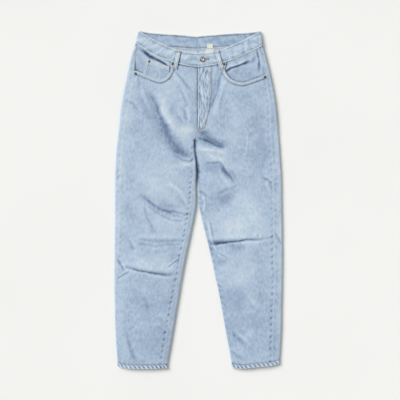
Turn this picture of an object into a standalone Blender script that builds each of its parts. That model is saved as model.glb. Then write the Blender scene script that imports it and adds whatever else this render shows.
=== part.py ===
"""A pair of five-pocket jeans, laid flat and face up. Sizes are in millimetres until a mesh is made.

The frame has its origin under the middle of the garment, +Y towards the waist and +Z up. Left and
right are the wearer's. On each half, u is the distance outwards from the middle line, and s is the
distance round the half's cross-section: 0 on the outer fold, positive over the top towards the
middle, negative underneath.
"""

import math

import bmesh
import bpy
import numpy as np
from mathutils import Matrix, Vector

MM = 0.001
CLOTH = 1.2
SEAM_GAP = 0.3
HALF_SEAM = SEAM_GAP / 2
WAIST_GAP = 0.45
FOLD_RADIUS = 5.0
QUARTER = FOLD_RADIUS * math.pi / 2
HEM_THICK = 2.0
HEM_HEIGHT = 12.0
BAND_THICK = 2.4
BAND_PROUD = 1.0
HIP_LIFT = 2.5
LIFT_FROM, LIFT_TO = 196.0, 236.0
CROTCH_Y = 178.0
CROTCH_RISE = 14.0
LEG_CROWN = 3.4
HIP_CROWN = 2.2
CROWN_BLEND = 70.0
WAIST_FLATTER = 0.7
WAIST_FROM, WAIST_TO = 380.0, 440.0
PROBE = 0.4

# The outline of each half by height: y, outer edge, outseam in from it, inner edge, inseam in from it
RIGHT_TABLE = (
    (-503, 250.0, 0.0, 95.3, 15.0),
    (-448, 254.0, 0.0, 85.1, 17.0),
    (-392, 257.2, 0.0, 75.8, 16.8),
    (-336, 258.4, 0.0, 66.5, 15.5),
    (-280, 260.4, 2.5, 57.2, 13.5),
    (-236, 260.2, 6.9, 49.9, 12.2),
    (-176, 259.0, 9.3, 38.7, 14.2),
    (-117, 258.7, 13.0, 26.0, 13.0),
    (-57, 258.7, 14.7, 13.8, 15.6),
    (-20, 258.4, 15.4, 7.4, 15.8),
    (40, 258.0, 16.0, 7.8, 10.5),
    (91, 256.8, 16.6, 7.0, 6.5),
    (117, 255.6, 16.8, 8.2, 4.0),
    (147, 254.0, 16.8, 12.2, 1.5),
    (178, 251.3, 16.6, 11.6, 0.0),
    (222, 246.3, 17.0, 3.2, 0.0),
    (296, 237.0, 20.0, 2.4, 0.0),
    (352, 227.0, 20.4, 2.2, 0.0),
    (389, 218.9, 19.6, 2.2, 0.0),
    (426, 210.8, 15.2, 2.2, 0.0),
    (445, 205.7, 11.2, 2.2, 0.0),
    (484, 193.6, 5.6, 2.2, 0.0),
    (523, 183.4, 5.2, 2.2, 0.0),
)
LEFT_TABLE = (
    (-503, 250.8, 23.0, 102.8, 0.0),
    (-448, 254.4, 25.8, 92.6, 0.0),
    (-392, 257.1, 27.0, 82.2, 0.0),
    (-336, 257.6, 26.2, 72.4, 0.0),
    (-280, 258.9, 24.2, 61.6, 0.0),
    (-236, 259.6, 23.8, 51.8, 0.0),
    (-176, 260.1, 26.0, 39.4, 0.0),
    (-117, 259.7, 25.8, 24.8, 0.0),
    (-57, 259.1, 26.2, 10.0, 0.0),
    (-20, 258.0, 26.2, 1.9, 0.0),
    (40, 257.5, 25.8, -1.6, 0.0),
    (91, 255.8, 25.0, -0.8, 0.0),
    (117, 253.8, 24.6, -3.8, 0.0),
    (147, 251.8, 24.2, -9.4, 0.0),
    (178, 249.7, 24.6, -10.3, 0.0),
    (222, 245.6, 23.4, -3.0, 0.0),
    (296, 238.9, 19.6, -2.2, 0.0),
    (352, 229.6, 18.0, -1.8, 0.0),
    (389, 221.8, 17.2, -1.8, 0.0),
    (426, 212.5, 15.4, -1.8, 0.0),
    (445, 207.6, 14.6, -1.8, 0.0),
    (476, 199.6, 14.6, -1.8, 0.0),
    (523, 190.8, 14.0, -1.8, 0.0),
)

# The waistband's edges from the side fold (0) to the middle (1): place, right lower, right upper,
# left lower, left upper
BAND_FRONT = (
    (0.00, 484.0, 522.6, 477.5, 521.4),
    (0.15, 468.0, 507.5, 463.0, 506.6),
    (0.30, 450.6, 492.5, 449.7, 491.8),
    (0.45, 436.4, 479.3, 435.4, 479.3),
    (0.60, 426.2, 467.2, 424.6, 466.6),
    (0.70, 420.2, 459.6, 418.6, 458.6),
    (0.80, 414.8, 455.6, 414.4, 454.6),
    (1.00, 409.0, 452.4, 409.0, 452.4),
)
BAND_BACK = (
    (0.00, 484.0, 522.6, 477.5, 521.4),
    (0.15, 477.0, 517.4, 475.4, 517.6),
    (0.30, 474.2, 514.8, 474.0, 515.6),
    (0.45, 472.0, 512.4, 472.8, 513.6),
    (0.60, 470.2, 510.6, 471.4, 511.8),
    (0.80, 467.2, 507.4, 468.2, 508.6),
    (1.00, 464.6, 504.8, 464.6, 504.8),
)

# The lowest edge of each leg, from the outer fold (0) to the inner fold (1)
HEM_LEVEL = -518.0
HEM_CURVE = {
    "right": ((0.0, -514.5), (0.12, -519.6), (0.5, -522.9), (1.0, -521.4)),
    "left": ((0.0, -505.6), (0.12, -511.0), (0.5, -517.6), (0.82, -522.4), (1.0, -518.0)),
}
HEM_FADE = 70.0
HEM_EASE = 4.0

YOKE_AT_OUTSEAM = 443.0
YOKE_AT_MIDDLE = 401.0

# Rows of the leg panels: shares of the way from the shaped top edge, then the heights of the rest
SHAPED_ROWS = (0.0, 0.12, 0.26, 0.42, 0.58, 0.74, 0.88)
STRAIGHT_ROWS = (
    340, 316, 294, 272, 252, 234, 216, 202, 192, 184, 178, 170, 158, 143, 126, 108, 86, 62, 38,
    14, -10, -34, -58, -82, -104, -122, -134, -146, -164, -184, -200, -213, -223, -234, -248,
    -272, -300, -330, -362, -394, -426, -458, -486, -506, -518,
)

# The main folds of the front, right then left: x1, y1, x2, y2, bow, half width, height
FOLDS = (
    (-160, 300, -72, 160, -14, 17, -2.4),
    (-72, 160, -22, 122, -4, 13, -2.0),
    (-125, 330, -60, 205, -12, 16, 1.4),
    (-60, 205, -20, 192, 0, 14, 1.3),
    (-110, 135, -30, 108, 6, 12, 1.2),
    (-215, 296, -187, 277, 4, 8, -1.3),
    (-181, 11, -62, -48, 8, 15, -1.6),
    (-104, -42, -58, -66, 4, 10, -1.2),
    (-166, -39, -126, -119, 8, 14, -1.4),
    (-150, 60, -80, 10, 0, 18, 1.1),
    (-180, -122, -48, -122, 4, 9, 1.1),
    (-180, -139, -48, -139, 4, 7, -1.2),
    (-220, -211, -84, -233, -6, 6, -2.2),
    (-222, -198, -82, -220, -6, 8, 1.5),
    (-252, -178, -227, -222, 4, 8, -1.5),
    (-214, -222, -250, -242, -2, 8, -1.3),
    (-60, -182, -100, -208, -2, 7, -1.4),
    (-228, -110, -200, -154, 4, 8, -1.2),
    (-222, -420, -194, -498, 6, 11, -1.4),
    (-180, -312, -150, -344, 0, 14, -1.0),
    (-160, -380, -140, -450, 0, 18, 0.9),
    (2, 200, 82, 163, 10, 14, -2.2),
    (8, 160, 84, 146, 0, 14, 1.4),
    (18, 110, 110, 60, -10, 15, -1.6),
    (60, 74, 140, 46, -6, 15, 1.1),
    (67, 378, 48, 315, 0, 9, -1.8),
    (48, 315, 30, 262, 0, 9, -1.3),
    (192, 262, 186, 46, 0, 22, -1.1),
    (130, 250, 100, 190, 0, 22, 1.0),
    (33, -134, 190, -126, -3, 7, -2.3),
    (33, -121, 190, -114, -3, 9, 1.6),
    (42, -146, 114, -204, 5, 9, 1.6),
    (58, -202, 92, -194, 0, 10, -1.7),
    (236, -100, 258, -142, 2, 8, -1.4),
    (120, 28, 44, -40, 6, 20, -1.3),
    (64, -266, 72, -334, 0, 14, -1.0),
    (73, -320, 106, -350, 0, 10, -1.1),
    (100, -406, 146, -452, 0, 12, -1.2),
    (108, -484, 146, -492, 0, 10, -1.1),
    (166, -300, 160, -410, 0, 22, 1.0),
)

# The front pocket mouths, from the waist seam to the outseam: u, y
MOUTHS = {
    "right": ((85.7, 421.0), (86.2, 401.0), (94.4, 383.9), (106.8, 373.6), (120.0, 370.0),
              (141.0, 376.4), (163.8, 385.8), (188.6, 396.0)),
    "left": ((85.6, 419.0), (81.4, 402.0), (87.6, 385.8), (101.8, 371.5), (124.0, 362.6),
             (143.0, 362.6), (169.4, 371.3), (201.7, 383.0)),
}
MOUTH_BEYOND = ((216.0, 401.0), (236.0, 470.0), (200.0, 520.0), (86.0, 500.0))
MOUTH_ABOVE = 20.0
CUTTER_HALF_DEPTH = 15.0
CUTTER_RAISED = 12.0
# The facing lies deepest at the mouth's edge, and rises by a share of that further in
FACING_DEPTH = {"right": 3.0, "left": 1.5}
FACING_RISE = 0.92
FACING_LEDGE, FACING_SLOPE = 3.0, 34.0
FACING_INNER_U = 66.0
FACING_LOWEST = 346.0

# The coin pocket's corners: u, y of top outer, top inner, low outer and low inner
COIN_CORNERS = ((159.5, 434.5), (90.0, 410.8), (176.0, 374.0), (92.0, 356.0))

# Cells of each piece's grid, and their places beside its edges
FRONT_FLAT, FRONT_IN = 8, 3
FRONT_COLUMNS = 2 + FRONT_FLAT + FRONT_IN
FRONT_FIRST, FRONT_SECOND, FRONT_TURN = 2.0, 4.0, 1.0
BACK_FLAT, YOKE_FLAT = 3, 9
BACK_EDGE_STEP = 1.2
FOLD_CELLS = {"right": 5, "left": 3}
FOLD_STEPS = {"right": 2, "left": 3}
YOKE_ROWS = 3
BAND_ROWS = 3
BAND_FRONT_CELLS, BAND_BACK_CELLS, BAND_LAP_CELLS = 11, 9, 4
FACING_COLUMNS, FACING_ROWS = 9, 7
COIN_COLUMNS, COIN_ROWS = 6, 5
LOOP_COLUMNS, LOOP_ROWS = 2, 8
FLY_ROWS = 8
LABEL_COLUMNS, LABEL_ROWS = 3, 2

LOOP_WIDTH = 12.5
LOOP_THICK = 1.2
# Belt loops: name, x and y of the top end, x and y of the bottom end, 1 on top and -1 underneath
LOOPS = (
    ("loop_front_right", -60.6, 459.0, -72.7, 403.0, 1),
    ("loop_front_left", 57.5, 455.4, 71.8, 401.6, 1),
    ("loop_back_right", -72.7, 508.0, -74.0, 454.0, -1),
    ("loop_back_centre", -7.0, 503.0, -5.0, 449.0, -1),
    ("loop_back_left", 64.0, 508.0, 66.0, 454.0, -1),
)
LOOP_BULGE = 1.4
LOOP_BULGE_TURN = 1.1
LOOP_STEP_FROM, LOOP_STEP_TO = -9.5, -1.5

# The waistband's lap at centre front: the left end leans by LAP_SHEER, the right end dips under it
UNDERLAP_LENGTH = 36.0
LAP_EDGE = 1.7
LAP_SHEER = 9.0
LAP_DROP = 2.7
LAP_FROM, LAP_TO = -34.0, -13.0

# The fly: the right front's step down under the left one, and the strips behind it
FLY_TOP, FLY_END = 402.0, 214.0
FLY_STEP, FLY_STEP_WIDTH = 1.0, 9.0
FLY_STEP_FROM, FLY_STEP_TO = 205.0, 235.0
# Node, u from, u to, depth of its face, thickness, finish, columns
FLY_PIECES = (
    ("zip", -10.0, 18.0, 2.5, 1.2, "zip_tape", 3),
    ("fly_shield", -8.0, 38.0, 4.0, CLOTH, "denim", 4),
)

# Rivets at the pocket corners: x, y, what they are set in
RIVETS = (
    (-80.0, 418.5, "panel"),
    (-193.9, 388.4, "panel"),
    (-151.9, 425.8, "coin pocket"),
    (79.8, 417.6, "panel"),
    (205.0, 378.0, "panel"),
)
# Shapes of the round pieces from top to bottom, as shares of their radius and height
RIVET_RADIUS = 3.8
RIVET_HEIGHT = 1.3
RIVET_STEPS = 12
RIVET_SHAPE = (
    (0, 1), (0.42, 1), (0.5, 0.72), (0.72, 0.72), (0.93, 0.5), (1, 0.2), (1, 0), (0, 0),
)
BUTTON_X, BUTTON_Y = 11.3, 432.6
BUTTON_RADIUS = 8.3
BUTTON_HEIGHT = 3.2
BUTTON_STEPS = 20
BUTTON_SHAPE = (
    (0, 0.72), (0.5, 0.72), (0.62, 0.95), (0.8, 1), (0.95, 0.86), (1, 0.62), (0.93, 0.4), (0.55, 0.3),
    (0.5, 0), (0, 0),
)
SEAT_PROBES = 12

POCKET_THICK = 2.2
# Half of the pair of back pockets: u, y, clockwise from the inner top corner
BACK_POCKET = ((36, 386), (176, 402), (170, 270), (110, 240), (52, 262))

# Blank labels inside the back: name, x from, x to, y from, y to, depth over the cloth
LABELS = (
    ("label_main", 26.5, 45.0, 467.6, 482.0, BAND_THICK - BAND_PROUD),
    ("label_care", 22.5, 48.5, 447.0, 466.2, CLOTH),
)
LABEL_THICK = 1.0

COLOURS = {
    "denim": (0.42, 0.55, 0.71),
    "denim_band": (0.45, 0.57, 0.72),
    "denim_reverse": (0.62, 0.69, 0.77),
    "copper": (0.55, 0.33, 0.20),
    "brass": (0.62, 0.56, 0.44),
    "zip_tape": (0.50, 0.52, 0.50),
    "label": (0.82, 0.82, 0.79),
}
METALS = ("copper", "brass")
METAL_ROUGHNESS, CLOTH_ROUGHNESS = 0.35, 0.9
MERGE = 0.00001


def through(points):
    """A smooth curve through (place, value) pairs, level past its ends."""
    places, values = np.array(points, float).T
    slopes = np.gradient(values, places)

    def at(x):
        x = np.clip(x, places[0], places[-1])
        k = np.clip(np.searchsorted(places, x, side="right") - 1, 0, len(places) - 2)
        span = places[k + 1] - places[k]
        t = (x - places[k]) / span
        rise = (2 * t**3 - 3 * t**2 + 1) * values[k] + (3 * t**2 - 2 * t**3) * values[k + 1]
        lean = (t**3 - 2 * t**2 + t) * slopes[k] + (t**3 - t**2) * slopes[k + 1]
        return rise + lean * span

    return at


def column(table, k):
    return through([(row[0], row[k]) for row in table])


def ease(x, start, end):
    """0 before start, 1 after end, and a smooth turn between them."""
    t = np.clip((x - start) / (end - start), 0, 1)
    return t * t * (3 - 2 * t)


class Half:
    """One half of the garment: its outline, its seams and the form of its cloth."""

    def __init__(self, name, sign, table, band_columns):
        self.name = name
        self.sign = sign
        self.outer = column(table, 1)
        self.outseam_in = column(table, 2)
        self.inner_edge = column(table, 3)
        self.inseam_in = column(table, 4)
        low, high = band_columns
        self.band = {
            (1, 0): column(BAND_FRONT, low),
            (1, 1): column(BAND_FRONT, high),
            (-1, 0): column(BAND_BACK, low),
            (-1, 1): column(BAND_BACK, high),
        }
        self.hem = through(HEM_CURVE[name])

    def inner(self, y):
        return self.inner_edge(y) + HALF_SEAM

    def flat(self, y):
        """The width of the level part between the two folds."""
        return self.outer(y) - self.inner(y) - 2 * FOLD_RADIUS

    def reach(self, y):
        """The distance s at which the cross-section ends in the middle."""
        return 2 * QUARTER + self.flat(y)

    def s_at(self, u, y):
        """The distance s of a point u on the level part, or beyond the middle line at the hips."""
        level = self.outer(y) + QUARTER - FOLD_RADIUS - u
        start = self.inner(y) + FOLD_RADIUS
        past = QUARTER + self.flat(y) + (start - u) * math.pi / 2
        return np.where(u > start, level, past)

    def along_fold(self, inset):
        """How far round a fold an inset from its edge lies."""
        turned = FOLD_RADIUS * np.arccos(1 - np.clip(inset, 0, FOLD_RADIUS) / FOLD_RADIUS)
        return turned + np.maximum(inset - FOLD_RADIUS, 0)

    def outseam(self, y):
        return self.along_fold(self.outseam_in(y))

    def inseam(self, y):
        """How far past the inner edge the inseam lies on top."""
        return self.along_fold(self.inseam_in(y))

    def surface(self, s, y):
        """The outer surface of the cloth at s and y."""
        s, y = np.broadcast_arrays(np.asarray(s, float), np.asarray(y, float))
        closed = 1 - ease(y, CROTCH_Y, CROTCH_Y + CROTCH_RISE)
        reach = self.reach(y)
        wrapped = (s < -reach) & (closed > 0.5)
        s = np.where(wrapped, 2 * reach + s, s)
        run = np.abs(s)
        top = s >= 0
        turn_out = np.clip(run / FOLD_RADIUS, 0, math.pi / 2)
        turn_in = np.maximum((run - QUARTER - self.flat(y)) / FOLD_RADIUS, 0)
        bend_in = np.minimum(turn_in, math.pi / 2)
        outer, inner = self.outer(y), self.inner(y)
        u_out = outer - FOLD_RADIUS * (1 - np.cos(turn_out))
        u_flat = outer - FOLD_RADIUS - (run - QUARTER)
        round_in = inner + FOLD_RADIUS * (1 - np.sin(bend_in))
        level_in = inner + FOLD_RADIUS * (1 - turn_in * 2 / math.pi)
        u_in = closed * round_in + (1 - closed) * level_in
        u = np.where(run < QUARTER, u_out, np.where(turn_in > 0, u_in, u_flat))
        x = self.sign * u
        fade_out = np.sin(turn_out)
        fade_in = 1 - closed * (1 - np.cos(bend_in))
        share = np.clip((u - inner) / (outer - inner), 0, 1)
        leg = LEG_CROWN * np.sin(math.pi * share)
        hip = HIP_CROWN * (1 - np.clip(u / outer, -1, 1) ** 2)
        hips = ease(y, CROTCH_Y - CROWN_BLEND, CROTCH_Y + CROWN_BLEND)
        waist = 1 - WAIST_FLATTER * ease(y, WAIST_FROM, WAIST_TO)
        crown = (1 - hips) * leg + hips * hip * waist
        raised = (crown + folds(x, y)) * fade_out**2 * fade_in
        fall = FOLD_RADIUS * ((1 - np.sin(turn_out)) + closed * (1 - np.cos(bend_in)))
        lift = HIP_LIFT * ease(y, LIFT_FROM, LIFT_TO)
        z = lift + np.where(top, 2 * FOLD_RADIUS - fall + raised, fall)
        return np.stack([x, y, z], axis=-1)

    def place(self, s, y, out):
        """A point at s and y, moved outwards from the cloth's surface, or into it where out is negative."""
        across = self.surface(s + PROBE, y) - self.surface(s - PROBE, y)
        along = self.surface(s, y + PROBE) - self.surface(s, y - PROBE)
        normal = np.cross(along, across) * self.sign
        normal /= np.linalg.norm(normal, axis=-1, keepdims=True)
        return self.surface(s, y) + normal * np.asarray(out, float)[..., None]

    def hem_drop(self, s, y):
        """How far below its row's height a point near the hem lies."""
        share = np.clip(np.abs(s) / self.reach(y), 0, 1)
        return (self.hem(share) - HEM_LEVEL) * (1 - ease(y, HEM_LEVEL, HEM_LEVEL + HEM_FADE))


def folds(x, y):
    """The height of the main folds, on top only."""
    height = np.zeros_like(x)
    for x1, y1, x2, y2, bow, width, rise in FOLDS:
        length = math.hypot(x2 - x1, y2 - y1)
        ex, ey = (x2 - x1) / length, (y2 - y1) / length
        along = (x - x1) * ex + (y - y1) * ey
        share = np.clip(along / length, 0, 1)
        off = (y - y1) * ex - (x - x1) * ey - bow * 4 * share * (1 - share)
        past = along - share * length
        height += rise * np.exp(-(off**2 + past**2) / width**2) * (1 - 0.5 * (2 * share - 1) ** 2)
    return height


RIGHT = Half("right", -1, RIGHT_TABLE, (1, 2))
LEFT = Half("left", 1, LEFT_TABLE, (3, 4))
HALVES = (RIGHT, LEFT)


def material(name):
    made = bpy.data.materials.new(name)
    made.use_nodes = True
    shader = made.node_tree.nodes["Principled BSDF"]
    shader.inputs["Base Color"].default_value = (*COLOURS[name], 1)
    shader.inputs["Roughness"].default_value = METAL_ROUGHNESS if name in METALS else CLOTH_ROUGHNESS
    shader.inputs["Metallic"].default_value = 1.0 if name in METALS else 0.0
    return made


def clear_scene():
    for old in list(bpy.data.objects):
        bpy.data.objects.remove(old, do_unlink=True)


def add(name, mesh, finish, smooth=False):
    """A named object of the jeans with its own material."""
    if smooth:
        mesh.shade_smooth()
    mesh.materials.append(materials[finish])
    made = bpy.data.objects.new(name, mesh)
    garment.objects.link(made)
    made.parent = stand
    return made


def cloth(name, columns, rows, form, finish):
    """A slab of cloth: a grid extruded into two layers, and each point placed by form(i, j, layer)."""
    bm = bmesh.new()
    bmesh.ops.create_grid(bm, x_segments=columns, y_segments=rows, size=0.5)
    outside = set(bm.verts)
    bmesh.ops.extrude_face_region(bm, geom=bm.faces[:])
    verts = list(bm.verts)
    i = np.array([round((v.co.x + 0.5) * columns) for v in verts])
    j = np.array([round((0.5 - v.co.y) * rows) for v in verts])
    layer = np.array([0 if v in outside else 1 for v in verts])
    for vert, point in zip(verts, form(i, j, layer)):
        vert.co = Vector(point * MM)
    bmesh.ops.recalc_face_normals(bm, faces=bm.faces[:])
    mesh = bpy.data.meshes.new(name)
    bm.to_mesh(mesh)
    bm.free()
    return add(name, mesh, finish, smooth=True)


def spaced(start, end, count):
    """Even steps from start to end, both arrays, without the start."""
    return [start + (end - start) * k / count for k in range(1, count + 1)]


def front_stations(half, y):
    """The places s of a front panel's columns at y, from the outseam to the middle."""
    start = half.outseam(y) + HALF_SEAM
    closed = 1 - ease(y, CROTCH_Y, CROTCH_Y + CROTCH_RISE)
    end = half.reach(y) - half.inseam(y) - HALF_SEAM * closed
    first = np.maximum(QUARTER / 2, start + FRONT_FIRST)
    second = np.maximum(QUARTER, start + FRONT_SECOND)
    turn = end - QUARTER - FRONT_TURN
    return np.array(
        [start, first, second]
        + spaced(second, turn, FRONT_FLAT)
        + spaced(turn, end, FRONT_IN)
    )


def back_stations(half, y, level_cells=BACK_FLAT):
    """The places s of a back panel's columns at y, from the outseam under the leg to the inseam."""
    start = half.outseam(y) - HALF_SEAM
    closed = 1 - ease(y, CROTCH_Y, CROTCH_Y + CROTCH_RISE)
    end = -half.reach(y) - half.inseam(y) + HALF_SEAM * closed
    round_out = [
        np.minimum(QUARTER * (1 - k / 2), start - BACK_EDGE_STEP * (k + 1)) for k in range(5)
    ]
    turn = -QUARTER - half.flat(y)
    cells = FOLD_CELLS[half.name]
    step = QUARTER / FOLD_STEPS[half.name]
    round_in = [
        np.maximum(turn - k * step, end + (cells - k) * BACK_EDGE_STEP) for k in range(1, cells)
    ]
    return np.array(
        [start] + round_out + spaced(round_out[-1], turn, level_cells) + round_in + [end]
    )


def band_edge(half, s, y, upper):
    """The height of the waistband's lower or upper edge at s."""
    share = np.abs(s) / half.reach(y)
    own = np.where(s >= 0, half.band[1, upper](share), half.band[-1, upper](share))
    other = LEFT if half is RIGHT else RIGHT
    return np.where(share > 1, other.band[1, upper](2 - share), own)


def settle(height, stations, i):
    """The s and y of points whose height depends on s, and s on y, found in a few turns."""
    y = np.full(len(i), 440.0)
    for _ in range(5):
        s = stations(y)[i, np.arange(len(i))]
        y = height(s, y)
    return s, y


def thickness(y):
    """Cloth, and the turned-up hem's two layers."""
    hem_top = HEM_LEVEL + HEM_HEIGHT
    return HEM_THICK - (HEM_THICK - CLOTH) * ease(y, hem_top, hem_top + HEM_EASE)


def panel_rows(half, stations, top_edge, i, j):
    """The s and y of a leg panel's grid: rows shaped to its top edge, then straight ones to the hem."""
    levels = np.array(STRAIGHT_ROWS, float)
    shaped = len(SHAPED_ROWS)
    share = np.where(j < shaped, np.array(SHAPED_ROWS)[np.minimum(j, shaped - 1)], 1.0)
    level = levels[np.maximum(j - shaped, 0)]

    def height(s, y):
        return top_edge(s, y) * (1 - share) + level * share

    s, y = settle(height, lambda y: stations(half, y), i)
    y = y + half.hem_drop(s, y)
    s = stations(half, y)[i, np.arange(len(i))]
    return s, y


def front(half):
    def top_edge(s, y):
        return band_edge(half, s, y, 0) - WAIST_GAP

    def form(i, j, layer):
        s, y = panel_rows(half, front_stations, top_edge, i, j)
        depth = thickness(y) * layer
        if half is RIGHT:
            from_middle = (half.reach(y) - s) / FLY_STEP_WIDTH
            fly = ease(y, FLY_STEP_FROM, FLY_STEP_TO)
            depth = depth + FLY_STEP * np.exp(-from_middle**2) * fly
        return half.place(s, y, -depth)

    rows = len(SHAPED_ROWS) + len(STRAIGHT_ROWS) - 1
    made = cloth("front_" + half.name, FRONT_COLUMNS, rows, form, "denim")
    cut = made.modifiers.new("pocket mouth", "BOOLEAN")
    cut.operation = "DIFFERENCE"
    cut.object = mouth_cutter(half)


def mouth_line(half, steps=4):
    """The pocket mouth's edge in x and y, smoothed through its points."""
    points = np.array(MOUTHS[half.name])
    places = np.arange(len(points))
    u = through(list(zip(places, points[:, 0])))
    y = through(list(zip(places, points[:, 1])))
    t = np.linspace(0, len(points) - 1, (len(points) - 1) * steps + 1)
    return half.sign * u(t), y(t)


def mouth_cutter(half):
    xs, ys = mouth_line(half, 3)
    outline = [(xs[0], ys[0] + MOUTH_ABOVE)]
    outline += list(zip(xs, ys))
    outline += [(half.sign * u, y) for u, y in MOUTH_BEYOND]
    curve = bpy.data.curves.new("mouth_" + half.name, "CURVE")
    curve.dimensions = "2D"
    curve.fill_mode = "BOTH"
    curve.extrude = CUTTER_HALF_DEPTH * MM
    spline = curve.splines.new("POLY")
    spline.points.add(len(outline) - 1)
    for point, (x, y) in zip(spline.points, outline):
        point.co = (x * MM, y * MM, 0, 1)
    spline.use_cyclic_u = True
    drawn = bpy.data.objects.new("mouth_curve", curve)
    bpy.context.scene.collection.objects.link(drawn)
    bpy.context.view_layer.update()
    graph = bpy.context.evaluated_depsgraph_get()
    mesh = bpy.data.meshes.new_from_object(drawn.evaluated_get(graph))
    bpy.data.objects.remove(drawn, do_unlink=True)
    bm = bmesh.new()
    bm.from_mesh(mesh)
    bmesh.ops.remove_doubles(bm, verts=bm.verts, dist=MERGE)
    bmesh.ops.recalc_face_normals(bm, faces=bm.faces[:])
    bm.to_mesh(mesh)
    bm.free()
    cutter = bpy.data.objects.new("mouth_" + half.name, mesh)
    cutter.location.z = CUTTER_RAISED * MM
    cutter.hide_render = True
    cutter.display_type = "WIRE"
    cutters.objects.link(cutter)
    cutter.parent = stand
    return cutter


def yoke_seam(half, s, y):
    """The height of the seam between yoke and back leg at s."""
    out = half.outseam(y)
    share = np.clip((out - s) / (out + half.reach(y)), 0, 1)
    return YOKE_AT_OUTSEAM + (YOKE_AT_MIDDLE - YOKE_AT_OUTSEAM) * share


def back(half):
    def top_edge(s, y):
        return yoke_seam(half, s, y) - HALF_SEAM

    def form(i, j, layer):
        s, y = panel_rows(half, back_stations, top_edge, i, j)
        return half.place(s, y, -thickness(y) * layer)

    columns = len(back_stations(half, 0.0)) - 1
    rows = len(SHAPED_ROWS) + len(STRAIGHT_ROWS) - 1
    cloth("back_" + half.name, columns, rows, form, "denim")


def yoke(half):
    def form(i, j, layer):
        def height(s, y):
            top = band_edge(half, s, y, 0) - SEAM_GAP
            return top + (yoke_seam(half, s, y) + HALF_SEAM - top) * j / YOKE_ROWS

        s, y = settle(height, lambda y: back_stations(half, y, YOKE_FLAT), i)
        return half.place(s, y, -CLOTH * layer)

    columns = len(back_stations(half, 0.0, YOKE_FLAT)) - 1
    cloth("yoke_" + half.name, columns, YOKE_ROWS, form, "denim")


def band_stations(half, y):
    """The places s of the waistband's columns on one half, from its front end round to the back middle."""
    reach = half.reach(y)
    fold = [QUARTER * (1 - k / 2) for k in range(1, 5)]
    front_cells = spaced(reach - QUARTER, QUARTER + 0 * y, BAND_FRONT_CELLS)
    back_cells = spaced(-QUARTER + 0 * y, -reach, BAND_BACK_CELLS)
    return [reach - QUARTER] + front_cells + [place + 0 * y for place in fold] + back_cells


def waistband():
    """One strip round the waist: the right end runs under the left one at centre front."""
    def strip(half, y, v):
        reach = half.reach(y)
        if half is LEFT:
            edge_u = half.inner(y) + LAP_EDGE - LAP_SHEER * v
            ends = spaced(half.s_at(edge_u, y), reach - QUARTER, BAND_LAP_CELLS)[:-1]
            return [half.s_at(edge_u, y)] + ends + band_stations(half, y)
        far = half.s_at(half.inner(y) - UNDERLAP_LENGTH, y)
        ends = spaced(far, reach - QUARTER, BAND_LAP_CELLS * 2)[:-1]
        return [far] + ends + band_stations(half, y)

    counts = {half.name: len(strip(half, np.zeros(1), np.zeros(1))) for half in HALVES}
    columns = counts["right"] + counts["left"] - 2

    def form(i, j, layer):
        v = 1 - j / BAND_ROWS
        points = np.zeros((len(i), 3))
        for half in HALVES:
            on_right = i < counts["right"]
            mine = on_right if half is RIGHT else ~on_right
            k = i[mine] if half is RIGHT else columns + 1 - i[mine]
            k = np.minimum(k, counts[half.name] - 1)
            across = v[mine]
            y = np.full(len(k), 460.0)
            for _ in range(6):
                s = np.array(strip(half, y, across))[k, np.arange(len(k))]
                low = band_edge(half, s, y, 0)
                high = band_edge(half, s, y, 1)
                y = low + (high - low) * across
            depth = BAND_THICK * layer[mine] - BAND_PROUD
            if half is RIGHT:
                from_middle = s - half.reach(y)
                depth = depth + LAP_DROP * ease(from_middle, LAP_FROM, LAP_TO)
            points[mine] = half.place(s, y, -depth)
        return points

    cloth("waistband", columns, BAND_ROWS, form, "denim_band")


def facing_depth(half, x, y):
    """How far under the panel's surface the facing lies: least away from the mouth's edge."""
    x, y = np.asarray(x, float), np.asarray(y, float)
    xs, ys = mouth_line(half)
    gap = np.hypot(x[..., None] - xs, y[..., None] - ys).min(axis=-1)
    highest = np.interp(np.abs(x), np.abs(xs), ys)
    opened = (y > highest) & (np.abs(x) > np.abs(xs).min())
    rise = FACING_RISE * ease(np.where(opened, gap, 0), FACING_LEDGE, FACING_SLOPE)
    return FACING_DEPTH[half.name] * (1 - rise)


def facing(half):
    def form(i, j, layer):
        y = np.full(len(i), 440.0)
        for _ in range(5):
            out = half.outseam(y) + HALF_SEAM
            s = out + (half.s_at(FACING_INNER_U, y) - out) * i / FACING_COLUMNS
            top = band_edge(half, s, y, 0) - SEAM_GAP
            y = top + (FACING_LOWEST - top) * j / FACING_ROWS
        base = half.surface(s, y)
        return half.place(s, y, -facing_depth(half, base[:, 0], y) - CLOTH * layer)

    cloth("facing_" + half.name, FACING_COLUMNS, FACING_ROWS, form, "denim")


def coin_stands_out(x, y):
    """How far the coin pocket's outer face is over the panel's surface."""
    return SEAM_GAP + CLOTH - facing_depth(RIGHT, x, y)


def coin_pocket():
    """A patch on the right facing, made from the facing's points moved out."""
    def form(i, j, layer):
        a, b = i / COIN_COLUMNS, j / COIN_ROWS
        top_left, top_right, low_left, low_right = (np.array(c) for c in COIN_CORNERS)
        u = (top_left[0] * (1 - a) + top_right[0] * a) * (1 - b)
        u = u + (low_left[0] * (1 - a) + low_right[0] * a) * b
        y = (top_left[1] * (1 - a) + top_right[1] * a) * (1 - b)
        y = y + (low_left[1] * (1 - a) + low_right[1] * a) * b
        s = RIGHT.s_at(u, y)
        return RIGHT.place(s, y, coin_stands_out(-u, y) - CLOTH * layer)

    cloth("coin_pocket", COIN_COLUMNS, COIN_ROWS, form, "denim")


def half_of(x):
    return RIGHT if x < 0 else LEFT


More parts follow.
